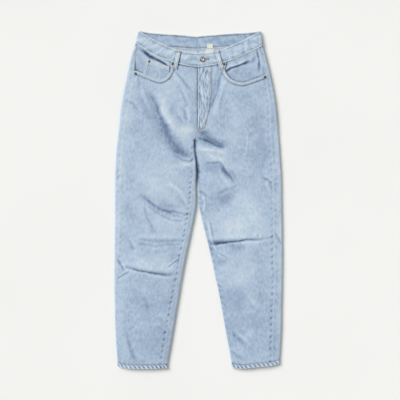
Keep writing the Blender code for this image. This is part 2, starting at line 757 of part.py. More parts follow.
def belt_loop(name, x_top, y_top, x_low, y_low, side):
    """A strip sewn over the waistband: the band's points moved out, and seated on the panel below it."""
    half = half_of(x_top + x_low)

    def form(i, j, layer):
        v = j / LOOP_ROWS
        x = x_top + (x_low - x_top) * v + (i / LOOP_COLUMNS - 0.5) * LOOP_WIDTH
        y = y_top + (y_low - y_top) * v
        s = side * half.s_at(half.sign * x, y)
        on_band = ease(y - band_edge(half, s, y, 0), LOOP_STEP_FROM, LOOP_STEP_TO)
        arch = np.sin(math.pi * np.clip(v * LOOP_BULGE_TURN, 0, 1)) ** 2
        bulge = LOOP_BULGE * arch if side > 0 else 0
        out = SEAM_GAP + BAND_PROUD * on_band + bulge
        return half.place(s, y, out + LOOP_THICK * (1 - layer))

    cloth(name, LOOP_COLUMNS, LOOP_ROWS, form, "denim_band")


def fly_piece(name, u_from, u_to, depth, thick, finish, columns):
    """A strip under the fly, made from the left front's points moved in."""
    def form(i, j, layer):
        y = FLY_TOP + (FLY_END - FLY_TOP) * j / FLY_ROWS
        u = u_from + (u_to - u_from) * i / columns
        s = LEFT.s_at(u, y)
        return LEFT.place(s, y, -depth - thick * layer)

    cloth(name, columns, FLY_ROWS, form, finish)


def back_pocket(half):
    """A patch pocket, flat on the underside."""
    curve = bpy.data.curves.new("back_pocket_" + half.name, "CURVE")
    curve.dimensions = "2D"
    curve.fill_mode = "BOTH"
    curve.extrude = POCKET_THICK / 2 * MM
    spline = curve.splines.new("POLY")
    spline.points.add(len(BACK_POCKET) - 1)
    for point, (u, y) in zip(spline.points, BACK_POCKET):
        point.co = (half.sign * u * MM, y * MM, 0, 1)
    spline.use_cyclic_u = True
    made = bpy.data.objects.new("back_pocket_" + half.name, curve)
    curve.materials.append(materials["denim"])
    garment.objects.link(made)
    made.parent = stand
    made.location.z = POCKET_THICK / 2 * MM


def turned(name, shape, radius, height, finish, steps):
    """A round solid about Z: its shape from top to bottom, turned by a Screw."""
    mesh = bpy.data.meshes.new(name)
    points = [(r * radius * MM, 0, z * height * MM) for r, z in shape]
    mesh.from_pydata(points, [(k, k + 1) for k in range(len(points) - 1)], [])
    made = add(name, mesh, finish)
    screw = made.modifiers.new("turn", "SCREW")
    screw.steps = steps
    screw.render_steps = steps
    screw.use_merge_vertices = True
    screw.merge_threshold = MERGE
    screw.use_smooth_shade = True
    return made


def seat(made, x, y, stands_out, radius):
    """Puts a round piece on the cloth at x and y, upright to it and just clear of it."""
    half = half_of(x)
    turns = np.linspace(0, math.tau, SEAT_PROBES + 1)
    xs = x + radius * np.append(0, np.cos(turns))
    ys = y + radius * np.append(0, np.sin(turns))
    spots = half.place(half.s_at(half.sign * xs, ys), ys, stands_out(xs, ys))
    above = half.place(half.s_at(half.sign * x, y), y, stands_out(x, y) + 1)
    foot = Vector(spots[0])
    up = (Vector(above) - foot).normalized()
    rise = max((Vector(spot) - foot).dot(up) for spot in spots)
    origin = foot + up * (rise + SEAM_GAP)
    made.matrix_local = Matrix.Translation(origin * MM) @ up.to_track_quat("Z", "Y").to_matrix().to_4x4()


def rivet(k, x, y, carrier):
    made = turned(f"rivet_{k}", RIVET_SHAPE, RIVET_RADIUS, RIVET_HEIGHT, "copper", RIVET_STEPS)
    stands_out = coin_stands_out if carrier == "coin pocket" else lambda x, y: 0.0 * x
    seat(made, x, y, stands_out, RIVET_RADIUS)


def button():
    made = turned("button", BUTTON_SHAPE, BUTTON_RADIUS, BUTTON_HEIGHT, "brass", BUTTON_STEPS)
    seat(made, BUTTON_X, BUTTON_Y, lambda x, y: BAND_PROUD + 0 * x, BUTTON_RADIUS)


def label(name, x_from, x_to, y_from, y_to, carrier_depth):
    """A blank tag on the inside of the back, made from its points moved in."""
    def form(i, j, layer):
        x = x_from + (x_to - x_from) * i / LABEL_COLUMNS
        y = y_from + (y_to - y_from) * j / LABEL_ROWS
        s = -LEFT.s_at(x, y)
        return LEFT.place(s, y, -carrier_depth - SEAM_GAP - LABEL_THICK * layer)

    cloth(name, LABEL_COLUMNS, LABEL_ROWS, form, "label")


def build():
    for half in HALVES:
        front(half)
        back(half)
        yoke(half)
        facing(half)
        back_pocket(half)
    waistband()
    coin_pocket()
    for loop in LOOPS:
        belt_loop(*loop)
    for strip in FLY_PIECES:
        fly_piece(*strip)
    button()
    for k, spot in enumerate(RIVETS, 1):
        rivet(k, *spot)
    for tag in LABELS:
        label(*tag)


clear_scene()
garment = bpy.data.collections.new("jeans")
cutters = bpy.data.collections.new("cutters")
for group in (garment, cutters):
    bpy.context.scene.collection.children.link(group)
stand = bpy.data.objects.new("jeans_origin", None)
garment.objects.link(stand)
materials = {name: material(name) for name in COLOURS}
build()
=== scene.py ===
"""The looks of a pair of jeans, laid flat and face up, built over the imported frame.

Sizes are in millimetres until a mesh is made. Left and right are the wearer's. On each half, u is
the distance outwards from the middle line, and s the distance round the half's cross-section: 0 on
the outer fold, positive over the top towards the middle, negative underneath. The outline, seams
and main folds are those of the solids; the creases, puckers and threads are added here.
"""

import math

import bpy
import numpy as np
from mathutils import Matrix, Vector


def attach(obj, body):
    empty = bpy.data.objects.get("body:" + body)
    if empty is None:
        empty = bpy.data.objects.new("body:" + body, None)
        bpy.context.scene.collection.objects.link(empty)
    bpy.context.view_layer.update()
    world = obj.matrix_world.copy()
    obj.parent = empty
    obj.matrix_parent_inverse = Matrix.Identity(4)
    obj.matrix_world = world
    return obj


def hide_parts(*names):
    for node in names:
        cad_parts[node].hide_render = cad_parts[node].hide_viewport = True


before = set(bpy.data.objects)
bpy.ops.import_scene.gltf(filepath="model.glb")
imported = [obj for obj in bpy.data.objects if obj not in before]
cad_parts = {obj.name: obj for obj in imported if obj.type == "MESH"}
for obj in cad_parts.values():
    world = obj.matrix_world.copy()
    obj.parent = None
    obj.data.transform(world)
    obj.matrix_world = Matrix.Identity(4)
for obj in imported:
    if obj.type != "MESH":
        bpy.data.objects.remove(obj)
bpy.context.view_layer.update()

MM = 0.001
CLOTH = 1.2
SEAM_GAP = 0.3
HALF_SEAM = SEAM_GAP / 2
WAIST_GAP = 0.45
FOLD_RADIUS = 5.0
QUARTER = FOLD_RADIUS * math.pi / 2
HEM_THICK = 2.0
HEM_HEIGHT = 12.0
BAND_THICK = 2.4
BAND_PROUD = 1.0
BAND_WIDE = 42.0
HIP_LIFT = 2.5
LIFT_FROM, LIFT_TO = 196.0, 236.0
CROTCH_Y = 178.0
CROTCH_RISE = 14.0
LEG_CROWN = 3.4
HIP_CROWN = 2.2
PROBE = 0.4

# The outline of each half by height: y, outer edge, outseam in from it, inner edge, inseam in from it
RIGHT_TABLE = (
    (-503, 250.0, 0.0, 95.3, 15.0),
    (-448, 254.0, 0.0, 85.1, 17.0),
    (-392, 257.2, 0.0, 75.8, 16.8),
    (-336, 258.4, 0.0, 66.5, 15.5),
    (-280, 260.4, 2.5, 57.2, 13.5),
    (-236, 260.2, 6.9, 49.9, 12.2),
    (-176, 259.0, 9.3, 38.7, 14.2),
    (-117, 258.7, 13.0, 26.0, 13.0),
    (-57, 258.7, 14.7, 13.8, 15.6),
    (-20, 258.4, 15.4, 7.4, 15.8),
    (40, 258.0, 16.0, 7.8, 10.5),
    (91, 256.8, 16.6, 7.0, 6.5),
    (117, 255.6, 16.8, 8.2, 4.0),
    (147, 254.0, 16.8, 12.2, 1.5),
    (178, 251.3, 16.6, 11.6, 0.0),
    (222, 246.3, 17.0, 3.2, 0.0),
    (296, 237.0, 20.0, 2.4, 0.0),
    (352, 227.0, 20.4, 2.2, 0.0),
    (389, 218.9, 19.6, 2.2, 0.0),
    (426, 210.8, 15.2, 2.2, 0.0),
    (445, 205.7, 11.2, 2.2, 0.0),
    (484, 193.6, 5.6, 2.2, 0.0),
    (523, 183.4, 5.2, 2.2, 0.0),
)
LEFT_TABLE = (
    (-503, 250.8, 23.0, 102.8, 0.0),
    (-448, 254.4, 25.8, 92.6, 0.0),
    (-392, 257.1, 27.0, 82.2, 0.0),
    (-336, 257.6, 26.2, 72.4, 0.0),
    (-280, 258.9, 24.2, 61.6, 0.0),
    (-236, 259.6, 23.8, 51.8, 0.0),
    (-176, 260.1, 26.0, 39.4, 0.0),
    (-117, 259.7, 25.8, 24.8, 0.0),
    (-57, 259.1, 26.2, 10.0, 0.0),
    (-20, 258.0, 26.2, 1.9, 0.0),
    (40, 257.5, 25.8, -1.6, 0.0),
    (91, 255.8, 25.0, -0.8, 0.0),
    (117, 253.8, 24.6, -3.8, 0.0),
    (147, 251.8, 24.2, -9.4, 0.0),
    (178, 249.7, 24.6, -10.3, 0.0),
    (222, 245.6, 23.4, -3.0, 0.0),
    (296, 238.9, 19.6, -2.2, 0.0),
    (352, 229.6, 18.0, -1.8, 0.0),
    (389, 221.8, 17.2, -1.8, 0.0),
    (426, 212.5, 15.4, -1.8, 0.0),
    (445, 207.6, 14.6, -1.8, 0.0),
    (476, 199.6, 14.6, -1.8, 0.0),
    (523, 190.8, 14.0, -1.8, 0.0),
)

# The waistband's edges from the side fold (0) to the middle (1): place, right lower, right upper,
# left lower, left upper
BAND_FRONT = (
    (0.00, 484.0, 522.6, 477.5, 521.4),
    (0.15, 468.0, 507.5, 463.0, 506.6),
    (0.30, 450.6, 492.5, 449.7, 491.8),
    (0.45, 436.4, 479.3, 435.4, 479.3),
    (0.60, 426.2, 467.2, 424.6, 466.6),
    (0.70, 420.2, 459.6, 418.6, 458.6),
    (0.80, 414.8, 455.6, 414.4, 454.6),
    (1.00, 409.0, 452.4, 409.0, 452.4),
)
BAND_BACK = (
    (0.00, 484.0, 522.6, 477.5, 521.4),
    (0.15, 477.0, 517.4, 475.4, 517.6),
    (0.30, 474.2, 514.8, 474.0, 515.6),
    (0.45, 472.0, 512.4, 472.8, 513.6),
    (0.60, 470.2, 510.6, 471.4, 511.8),
    (0.80, 467.2, 507.4, 468.2, 508.6),
    (1.00, 464.6, 504.8, 464.6, 504.8),
)

# The lowest edge of each leg, from the outer fold (0) to the inner fold (1)
HEM_LEVEL = -518.0
HEM_CURVE = {
    "right": ((0.0, -514.5), (0.12, -519.6), (0.5, -522.9), (1.0, -521.4)),
    "left": ((0.0, -505.6), (0.12, -511.0), (0.5, -517.6), (0.82, -522.4), (1.0, -518.0)),
}
HEM_FADE = 70.0
HEM_TWIST = 13.0

YOKE_AT_OUTSEAM = 443.0
YOKE_AT_MIDDLE = 401.0

# The main folds of the front, right then left: x1, y1, x2, y2, bow, half width, height
FOLDS = (
    (-160, 300, -72, 160, -14, 17, -2.4),
    (-72, 160, -22, 122, -4, 13, -2.0),
    (-125, 330, -60, 205, -12, 16, 1.4),
    (-60, 205, -20, 192, 0, 14, 1.3),
    (-110, 135, -30, 108, 6, 12, 1.2),
    (-215, 296, -187, 277, 4, 8, -1.3),
    (-181, 11, -62, -48, 8, 15, -1.6),
    (-104, -42, -58, -66, 4, 10, -1.2),
    (-166, -39, -126, -119, 8, 14, -1.4),
    (-150, 60, -80, 10, 0, 18, 1.1),
    (-180, -122, -48, -122, 4, 9, 1.1),
    (-180, -139, -48, -139, 4, 7, -1.2),
    (-220, -211, -84, -233, -6, 6, -2.2),
    (-222, -198, -82, -220, -6, 8, 1.5),
    (-252, -178, -227, -222, 4, 8, -1.5),
    (-214, -222, -250, -242, -2, 8, -1.3),
    (-60, -182, -100, -208, -2, 7, -1.4),
    (-228, -110, -200, -154, 4, 8, -1.2),
    (-222, -420, -194, -498, 6, 11, -1.4),
    (-180, -312, -150, -344, 0, 14, -1.0),
    (-160, -380, -140, -450, 0, 18, 0.9),
    (2, 200, 82, 163, 10, 14, -2.2),
    (8, 160, 84, 146, 0, 14, 1.4),
    (18, 110, 110, 60, -10, 15, -1.6),
    (60, 74, 140, 46, -6, 15, 1.1),
    (67, 378, 48, 315, 0, 9, -1.8),
    (48, 315, 30, 262, 0, 9, -1.3),
    (192, 262, 186, 46, 0, 22, -1.1),
    (130, 250, 100, 190, 0, 22, 1.0),
    (33, -134, 190, -126, -3, 7, -2.3),
    (33, -121, 190, -114, -3, 9, 1.6),
    (42, -146, 114, -204, 5, 9, 1.6),
    (58, -202, 92, -194, 0, 10, -1.7),
    (236, -100, 258, -142, 2, 8, -1.4),
    (120, 28, 44, -40, 6, 20, -1.3),
    (64, -266, 72, -334, 0, 14, -1.0),
    (73, -320, 106, -350, 0, 10, -1.1),
    (100, -406, 146, -452, 0, 12, -1.2),
    (108, -484, 146, -492, 0, 10, -1.1),
    (166, -300, 160, -410, 0, 22, 1.0),
)

FOLD_GAIN = 0.7
# Finer creases of the front: half width, height, lean (1 is a step with its high side on the left
# of its direction, 0 a trough with soft lips), then its points
CREASES = (
    (14.0, -1.0, 0.4, (-152, 318), (-136, 272), (-116, 236), (-86, 190), (-50, 152), (-26, 128)),
    (13.0, 1.2, 0.0, (-118, 330), (-96, 268), (-70, 214)),
    (14.0, -1.3, 0.3, (4, 196), (44, 180), (88, 168)),
    (14.0, -1.0, 0.3, (24, 102), (70, 92), (108, 58)),
    (13.0, -1.0, 0.0, (-176, 6), (-120, -26), (-66, -44)),
    (3.2, -1.3, 0.2, (-74, 399), (-46, 366), (-18, 327)),
    (5.0, 0.9, 0.0, (-79, 393), (-56, 350), (-40, 321), (-24, 291)),
    (4.5, -0.9, 0.0, (-70, 374), (-50, 332), (-34, 296)),
    (4.5, -0.9, 0.0, (-46, 283), (-40, 262), (-35, 241)),
    (5.0, 0.8, 0.0, (-34, 288), (-30, 262), (-27, 238)),
    (4.0, -0.8, 0.0, (-61, 255), (-46, 233)),
    (4.0, -0.8, 0.0, (-186, 382), (-184, 362), (-180, 344)),
    (6.0, 0.7, 0.0, (-176, 350), (-160, 300), (-140, 262)),
    (3.0, -1.2, 0.4, (-216, 296), (-201, 292), (-190, 280), (-184, 268)),
    (5.0, -0.8, 0.0, (-146, 330), (-132, 290), (-116, 250), (-98, 214)),
    (6.0, 0.8, 0.0, (-120, 300), (-100, 250), (-78, 215)),
    (3.4, -1.4, 0.6, (-70, 134), (-52, 122), (-32, 118), (-16, 121)),
    (4.0, 1.0, 0.0, (-66, 112), (-40, 106), (-16, 110)),
    (5.0, 1.0, 0.0, (-92, 54), (-60, 26), (-32, -13), (-28, -29)),
    (4.0, -1.1, 0.5, (-175, 11), (-147, -13), (-92, -37), (-48, -49), (-24, -45)),
    (3.4, -1.1, 0.3, (-155, -21), (-115, -45), (-84, -65), (-44, -68)),
    (3.2, -0.9, 0.3, (-104, -30), (-78, -52), (-48, -58)),
    (5.0, -0.7, 0.0, (-167, -21), (-156, -58), (-139, -92)),
    (4.2, -0.9, 0.0, (-188, -127), (-120, -129), (-48, -128)),
    (3.6, -1.0, 0.3, (-185, -140), (-120, -141), (-48, -139)),
    (3.2, -0.9, 0.2, (-218, -124), (-206, -140), (-199, -156)),
    (2.5, -2.2, 0.6, (-80, -233), (-110, -233), (-139, -231), (-186, -221), (-222, -211)),
    (2.8, -1.7, 0.3, (-250, -183), (-240, -200), (-226, -223)),
    (2.8, -1.7, -0.8, (-210, -223), (-230, -232), (-250, -244)),
    (2.8, -1.7, -0.8, (-56, -181), (-76, -195), (-96, -211)),
    (4.0, -0.9, 0.1, (-224, -417), (-210, -464), (-190, -500)),
    (5.0, -0.6, 0.0, (-176, -300), (-160, -322), (-150, -342)),
    (3.0, -1.3, 0.5, (75, 396), (66, 370), (59, 341), (50, 312), (42, 283)),
    (5.0, 1.1, 0.0, (86, 376), (74, 340), (60, 300), (47, 262)),
    (4.2, -0.6, 0.0, (62, 400), (56, 376), (50, 352)),
    (3.2, -1.5, 0.6, (0, 190), (22, 182), (50, 170), (82, 166)),
    (6.0, 1.0, 0.0, (8, 152), (40, 150), (80, 146)),
    (3.6, -1.4, 0.5, (23, 111), (66, 110), (90, 78), (110, 54)),
    (5.0, 0.8, 0.0, (60, 96), (82, 62), (100, 40)),
    (4.5, -0.8, 0.0, (51, 15), (90, 34), (130, 50)),
    (3.0, -1.3, 0.4, (3, 30), (12, 20), (23, 7)),
    (3.0, -1.0, 0.4, (4, -21), (12, -34), (22, -45)),
    (3.4, 1.1, 0.0, (12, 20), (20, -8), (18, -36)),
    (3.4, 1.2, 0.0, (31, -60), (33, -90), (35, -116), (50, -150), (62, -171), (94, -195)),
    (3.0, -1.0, 0.0, (40, -64), (42, -92), (45, -112)),
    (2.5, -2.3, -0.8, (37, -136), (90, -134), (146, -128), (193, -126)),
    (3.6, -0.8, -0.3, (193, -126), (214, -120), (233, -112)),
    (2.6, -1.3, 0.0, (186, -106), (184, -116)),
    (2.4, -1.0, 0.0, (157, -117), (154, -123)),
    (3.0, -1.2, 0.3, (43, -147), (62, -166), (94, -191)),
    (2.8, -1.2, 0.2, (236, -100), (247, -118), (260, -136)),
    (3.0, -1.3, 0.4, (196, 66), (210, 62), (225, 50)),
    (4.0, 0.9, 0.0, (206, 54), (216, 38), (222, 20)),
    (2.8, -1.3, 0.3, (62, -264), (68, -270), (76, -273)),
    (2.8, -1.1, 0.2, (81, -322), (85, -330), (91, -338)),
    (4.0, -0.8, 0.1, (108, -468), (124, -486), (142, -497)),
    (5.0, -0.7, 0.0, (102, -410), (124, -430), (146, -452)),
    (4.0, 0.7, 0.0, (112, -406), (134, -426), (158, -446)),
    (4.0, 0.6, 0.0, (146, 220), (150, 170), (142, 130)),
)

# Creases of the underside, pressed into the cloth: half width, height, lean, points
UNDER_CREASES = (
    (5.0, -1.5, 0.0, (-150, 250), (-110, 215), (-60, 188), (-24, 176)),
    (6.0, -1.2, 0.0, (-200, 190), (-150, 165), (-90, 140), (-40, 132)),
    (5.0, -1.3, 0.0, (150, 255), (100, 220), (60, 190), (22, 178)),
    (6.0, -1.1, 0.0, (206, 170), (150, 160), (96, 136), (44, 128)),
    (4.0, -1.6, 0.0, (-230, -96), (-170, -112), (-110, -110), (-44, -98)),
    (4.0, -1.3, 0.0, (-226, -150), (-180, -142), (-120, -150), (-56, -166)),
    (5.0, -1.2, 0.0, (-210, -60), (-160, -40), (-90, -48), (-30, -70)),
    (4.0, -1.6, 0.0, (36, -104), (96, -118), (160, -108), (222, -120)),
    (4.0, -1.2, 0.0, (60, -160), (120, -150), (176, -162), (228, -150)),
    (5.0, -1.1, 0.0, (24, -60), (90, -44), (150, -62), (214, -50)),
    (6.0, -1.0, 0.0, (-220, -260), (-150, -280), (-80, -262)),
    (6.0, -1.0, 0.0, (76, -270), (140, -284), (226, -262)),
    (5.0, -1.0, 0.0, (-214, -402), (-170, -430), (-120, -436)),
    (5.0, -1.0, 0.0, (112, -418), (160, -436), (216, -410)),
)

# The wash and painted shade: x, y, half width, half height, turn in degrees, strength (pale is positive).
# Pale patches are the wash's wear. Dark ones are partly the less worn wash of the calves and hips, and partly
# painted shade in the fold valleys, under the knee crease and down the left thigh.
WASH_AND_SHADE = (
    (-118, 60, 60, 62, 0, 0.36),
    (-104, -84, 72, 42, 0, 0.22),
    (-146, -196, 62, 22, -8, 0.55),
    (-96, 342, 34, 54, 20, 0.25),
    (-34, 214, 24, 14, 15, 0.60),
    (-42, 108, 34, 10, 0, 0.50),
    (-246, 0, 14, 420, 0, 0.30),
    (-222, 240, 22, 150, -6, 0.25),
    (-130, -330, 88, 90, 0, -0.16),
    (-140, -460, 88, 60, 0, -0.20),
    (-128, 262, 18, 74, 26, -0.10),
    (-96, 205, 16, 44, 34, -0.30),
    (-60, 150, 30, 15, -35, -0.55),
    (46, 146, 44, 12, -4, 0.55),
    (140, -16, 62, 46, 0, 0.40),
    (124, -84, 84, 34, 0, 0.52),
    (126, -232, 64, 40, 12, 0.34),
    (168, -308, 14, 9, 0, 0.40),
    (162, -408, 12, 12, 0, 0.25),
    (76, 4, 40, 18, 32, -0.55),
    (76, -150, 52, 13, 6, -0.70),
    (150, -392, 78, 96, 0, -0.22),
    (110, -300, 40, 40, 0, -0.25),
    (248, 0, 12, 420, 0, 0.25),
    (130, 300, 62, 66, 0, -0.05),
    (196, 140, 12, 90, 0, -0.30),
    (36, 174, 42, 12, -18, -0.60),
    (84, 82, 34, 12, -44, -0.55),
    (20, 208, 14, 8, 0, -0.50),
    (88, 330, 20, 60, 22, 0.22),
    (10, 320, 10, 80, 0, 0.10),
)

# The front pocket mouths, from the waist seam to the outseam: u, y
MOUTHS = {
    "right": ((85.7, 421.0), (86.2, 401.0), (94.4, 383.9), (106.8, 373.6), (120.0, 370.0),
              (141.0, 376.4), (163.8, 385.8), (188.6, 396.0)),
    "left": ((85.6, 419.0), (81.4, 402.0), (87.6, 385.8), (101.8, 371.5), (124.0, 362.6),
             (143.0, 362.6), (169.4, 371.3), (201.7, 383.0)),
}
MOUTH_BEYOND = ((216.0, 401.0), (236.0, 470.0), (200.0, 520.0), (86.0, 500.0))
MOUTH_HEM = 9.5
FACING_DEPTH = {"right": 3.0, "left": 1.5}
FACING_SLOPE = 34.0
FACING_INNER_U = 66.0
FACING_LOWEST = 346.0
# Creases of the pocket facings: half width, height, lean, points
FACING_CREASES = (
    (4.2, -2.6, 0.5, (-176, 467), (-150, 444), (-128, 431), (-104, 419), (-84, 406)),
    (6.0, -1.0, 0.0, (-206, 440), (-196, 408), (-190, 392)),
    (3.6, -2.4, 0.6, (76, 390), (84, 396), (98, 407), (125, 416), (152, 427)),
    (6.0, -1.0, 0.0, (130, 418), (160, 424), (176, 440)),
    (4.0, -1.8, 0.3, (178, 462), (185, 432), (188, 398)),
)

COIN_CORNERS = ((159.5, 434.5), (90.0, 410.8), (176.0, 374.0), (92.0, 356.0))
COIN_BAND = 11.0

LOOP_WIDTH = 12.5
LOOP_THICK = 1.2
# Belt loops: name, x and y of the top end, x and y of the bottom end, 1 on top and -1 underneath
LOOPS = (
    ("loop_front_right", -60.6, 459.0, -72.7, 403.0, 1),
    ("loop_front_left", 57.5, 455.4, 71.8, 401.6, 1),
    ("loop_back_right", -72.7, 508.0, -74.0, 454.0, -1),
    ("loop_back_centre", -7.0, 503.0, -5.0, 449.0, -1),
    ("loop_back_left", 64.0, 508.0, 66.0, 454.0, -1),
)
LOOP_BULGE = 2.6

UNDERLAP_LENGTH = 36.0
LAP_SHEER = 9.0
LAP_DROP = 2.7

# Rivets at the pocket corners: x, y, what they are set in
RIVETS = (
    (-80.0, 418.5, "panel"),
    (-193.9, 388.4, "panel"),
    (-151.9, 425.8, "coin pocket"),
    (79.8, 417.6, "panel"),
    (205.0, 378.0, "panel"),
)
RIVET_RADIUS = 3.8
RIVET_HEIGHT = 1.3
BUTTON_X, BUTTON_Y = 11.3, 432.6
BUTTON_RADIUS = 8.3
BUTTON_HEIGHT = 3.2
BUTTONHOLE = (18.4, 32.5, 433.6)

POCKET_THICK = 2.2
# Half of the pair of back pockets: u, y, clockwise from the inner top corner
BACK_POCKET = ((36, 386), (176, 402), (170, 270), (110, 240), (52, 262))
POCKET_HEM = 26.0

# Blank labels inside the back: name, x from, x to, y from, y to, depth over the cloth
LABELS = (
    ("label_main", 26.5, 45.0, 467.6, 482.0, BAND_THICK - BAND_PROUD),
    ("label_care", 22.5, 48.5, 447.0, 466.2, CLOTH),
)
LABEL_THICK = 1.0

FLY_TOP, FLY_END = 402.0, 214.0
FLY_STEP, FLY_STEP_WIDTH = 1.0, 9.0
# The fly's curved line of stitches: x, y
FLY_STITCH = ((40.2, 407), (40.2, 360), (38.4, 322), (34.9, 288), (32.4, 277.7), (25.3, 250), (18.4, 224),
              (5.7, 217), (-2.0, 215))


def through(points):
    """A smooth curve through (place, value) pairs, level past its ends."""
    places, values = np.array(points, float).T
    slopes = np.gradient(values, places)

    def at(x):
        x = np.clip(x, places[0], places[-1])
        k = np.clip(np.searchsorted(places, x, side="right") - 1, 0, len(places) - 2)
        span = places[k + 1] - places[k]
        t = (x - places[k]) / span
        rise = (2 * t**3 - 3 * t**2 + 1) * values[k] + (3 * t**2 - 2 * t**3) * values[k + 1]
        lean = (t**3 - 2 * t**2 + t) * slopes[k] + (t**3 - t**2) * slopes[k + 1]
        return rise + lean * span

    return at


def column(table, k):
    return through([(row[0], row[k]) for row in table])


def ease(x, start, end):
    """0 before start, 1 after end, and a smooth turn between them."""
    t = np.clip((x - start) / (end - start), 0, 1)
    return t * t * (3 - 2 * t)


def bell(x, width):
    return np.exp(-((x / width) ** 2))


def waves(x, y, seed, length, lean=0.0, spread=180.0, count=22):
    """A smooth random field of about unit size, of waves near one length, running near one direction."""
    rng = np.random.default_rng(seed)
    total = np.zeros(np.broadcast(x, y).shape)
    for _ in range(count):
        turn = math.radians(lean + (rng.random() - 0.5) * spread)
        pace = math.tau / (length * (0.65 + 0.9 * rng.random()))
        total += np.cos(pace * (x * math.cos(turn) + y * math.sin(turn)) + math.tau * rng.random())
    return total * math.sqrt(2 / count)


def to_line(x, y, points):
    """The signed distance to a line through points (positive on its left), and the distance along it."""
    best = np.full(np.shape(x), 1e9)
    side = np.zeros(np.shape(x))
    along = np.zeros(np.shape(x))
    run = 0.0
    for (x1, y1), (x2, y2) in zip(points, points[1:]):
        length = math.hypot(x2 - x1, y2 - y1)
        ex, ey = (x2 - x1) / length, (y2 - y1) / length
        t = np.clip((x - x1) * ex + (y - y1) * ey, 0, length)
        gap = np.hypot(x - x1 - t * ex, y - y1 - t * ey)
        near = gap < best
        best = np.where(near, gap, best)
        side = np.where(near, np.sign((y - y1) * ex - (x - x1) * ey), side)
        along = np.where(near, run + t, along)
        run += length
    return best * side, along, run


def creased(x, y, rows):
    """The height of a table of creases, and their tone: troughs darker, partly the wash and partly painted
    shade, lips paler from wear.
    """
    wx = x + 1.7 * waves(x, y, 11, 95) + 0.3 * waves(x, y, 12, 28)
    wy = y + 1.7 * waves(x, y, 13, 95) + 0.3 * waves(x, y, 14, 28)
    height = np.zeros(np.shape(x))
    tone = np.zeros(np.shape(x))
    for k, (width, rise, lean, *points) in enumerate(rows):
        off, along, length = to_line(wx, wy, points)
        share = along / length
        ends = np.clip(4.5 * share * (1 - share) + 0.25, 0, 1)
        wide = max(width, 2.8) * (1 + 0.2 * np.sin(along / 21 + k))
        trough = bell(off, wide)
        high = bell(off - 1.9 * wide, 1.5 * wide)
        low = bell(off + 1.9 * wide, 1.5 * wide)
        lips = 0.42 * ((1 + lean) * high + (1 - lean) * low)
        height += rise * ends * (trough - lips)
        # Tone: painted shade and the wash darken the troughs; wear pales the lips.
        tone += rise * ends * (0.46 * trough - 0.30 * lips)
    return height, tone


def folds(x, y):
    """The height of the main folds, on top only."""
    height = np.zeros_like(x)
    for x1, y1, x2, y2, bow, width, rise in FOLDS:
        length = math.hypot(x2 - x1, y2 - y1)
        ex, ey = (x2 - x1) / length, (y2 - y1) / length
        along = (x - x1) * ex + (y - y1) * ey
        share = np.clip(along / length, 0, 1)
        off = (y - y1) * ex - (x - x1) * ey - bow * 4 * share * (1 - share)
        past = along - share * length
        height += rise * np.exp(-(off**2 + past**2) / width**2) * (1 - 0.5 * (2 * share - 1) ** 2)
    return height


def rumple(x, y):
    """The small unevenness of cloth that has been through the wash and laid down by hand."""
    ripple = 1 - np.abs(waves(x, y, 21, 58, 60, 120))
    cross = 1 - np.abs(waves(x, y, 22, 44, 100, 90))
    patch = 0.5 + 0.5 * np.tanh(1.4 * waves(x, y, 23, 130))
    return 0.34 * ripple * patch + 0.28 * cross * (1 - patch) + 0.10 * waves(x, y, 24, 24)


def wash_and_shade(x, y):
    """The paleness of the wash at a place, and its painted shade, from a table of patches. tables of patches,
    and the folds' own wear.
    """
    tone = np.zeros(np.shape(x))
    wx, wy = x + 6 * waves(x, y, 31, 90), y + 6 * waves(x, y, 32, 90)
    for px, py, wide, high, turn, strength in WASH_AND_SHADE:
        c, s = math.cos(math.radians(turn)), math.sin(math.radians(turn))
        dx, dy = wx - px, wy - py
        across, up = dx * c + dy * s, dy * c - dx * s
        tone += strength * np.exp(-((across / wide) ** 2) - (up / high) ** 2)
    return tone


def puckers(off, along, seed, step=17.0, centre=5.0, reach=3.4):
    """Short dimples beside a seam, one at each step, uneven in strength."""
    rng = np.random.default_rng(seed)
    strengths = 0.5 + 0.5 * rng.random(64)
    shifts = 0.24 * (rng.random(64) - 0.5)
    turn = (along + 0.5 * off) / step + 0.2 * np.sin(along / 47)
    cell = np.floor(turn).astype(int) % 64
    pulse = bell(turn - np.floor(turn) - 0.5 - shifts[cell], 0.2)
    return strengths[cell] * pulse * bell(off - centre, reach)


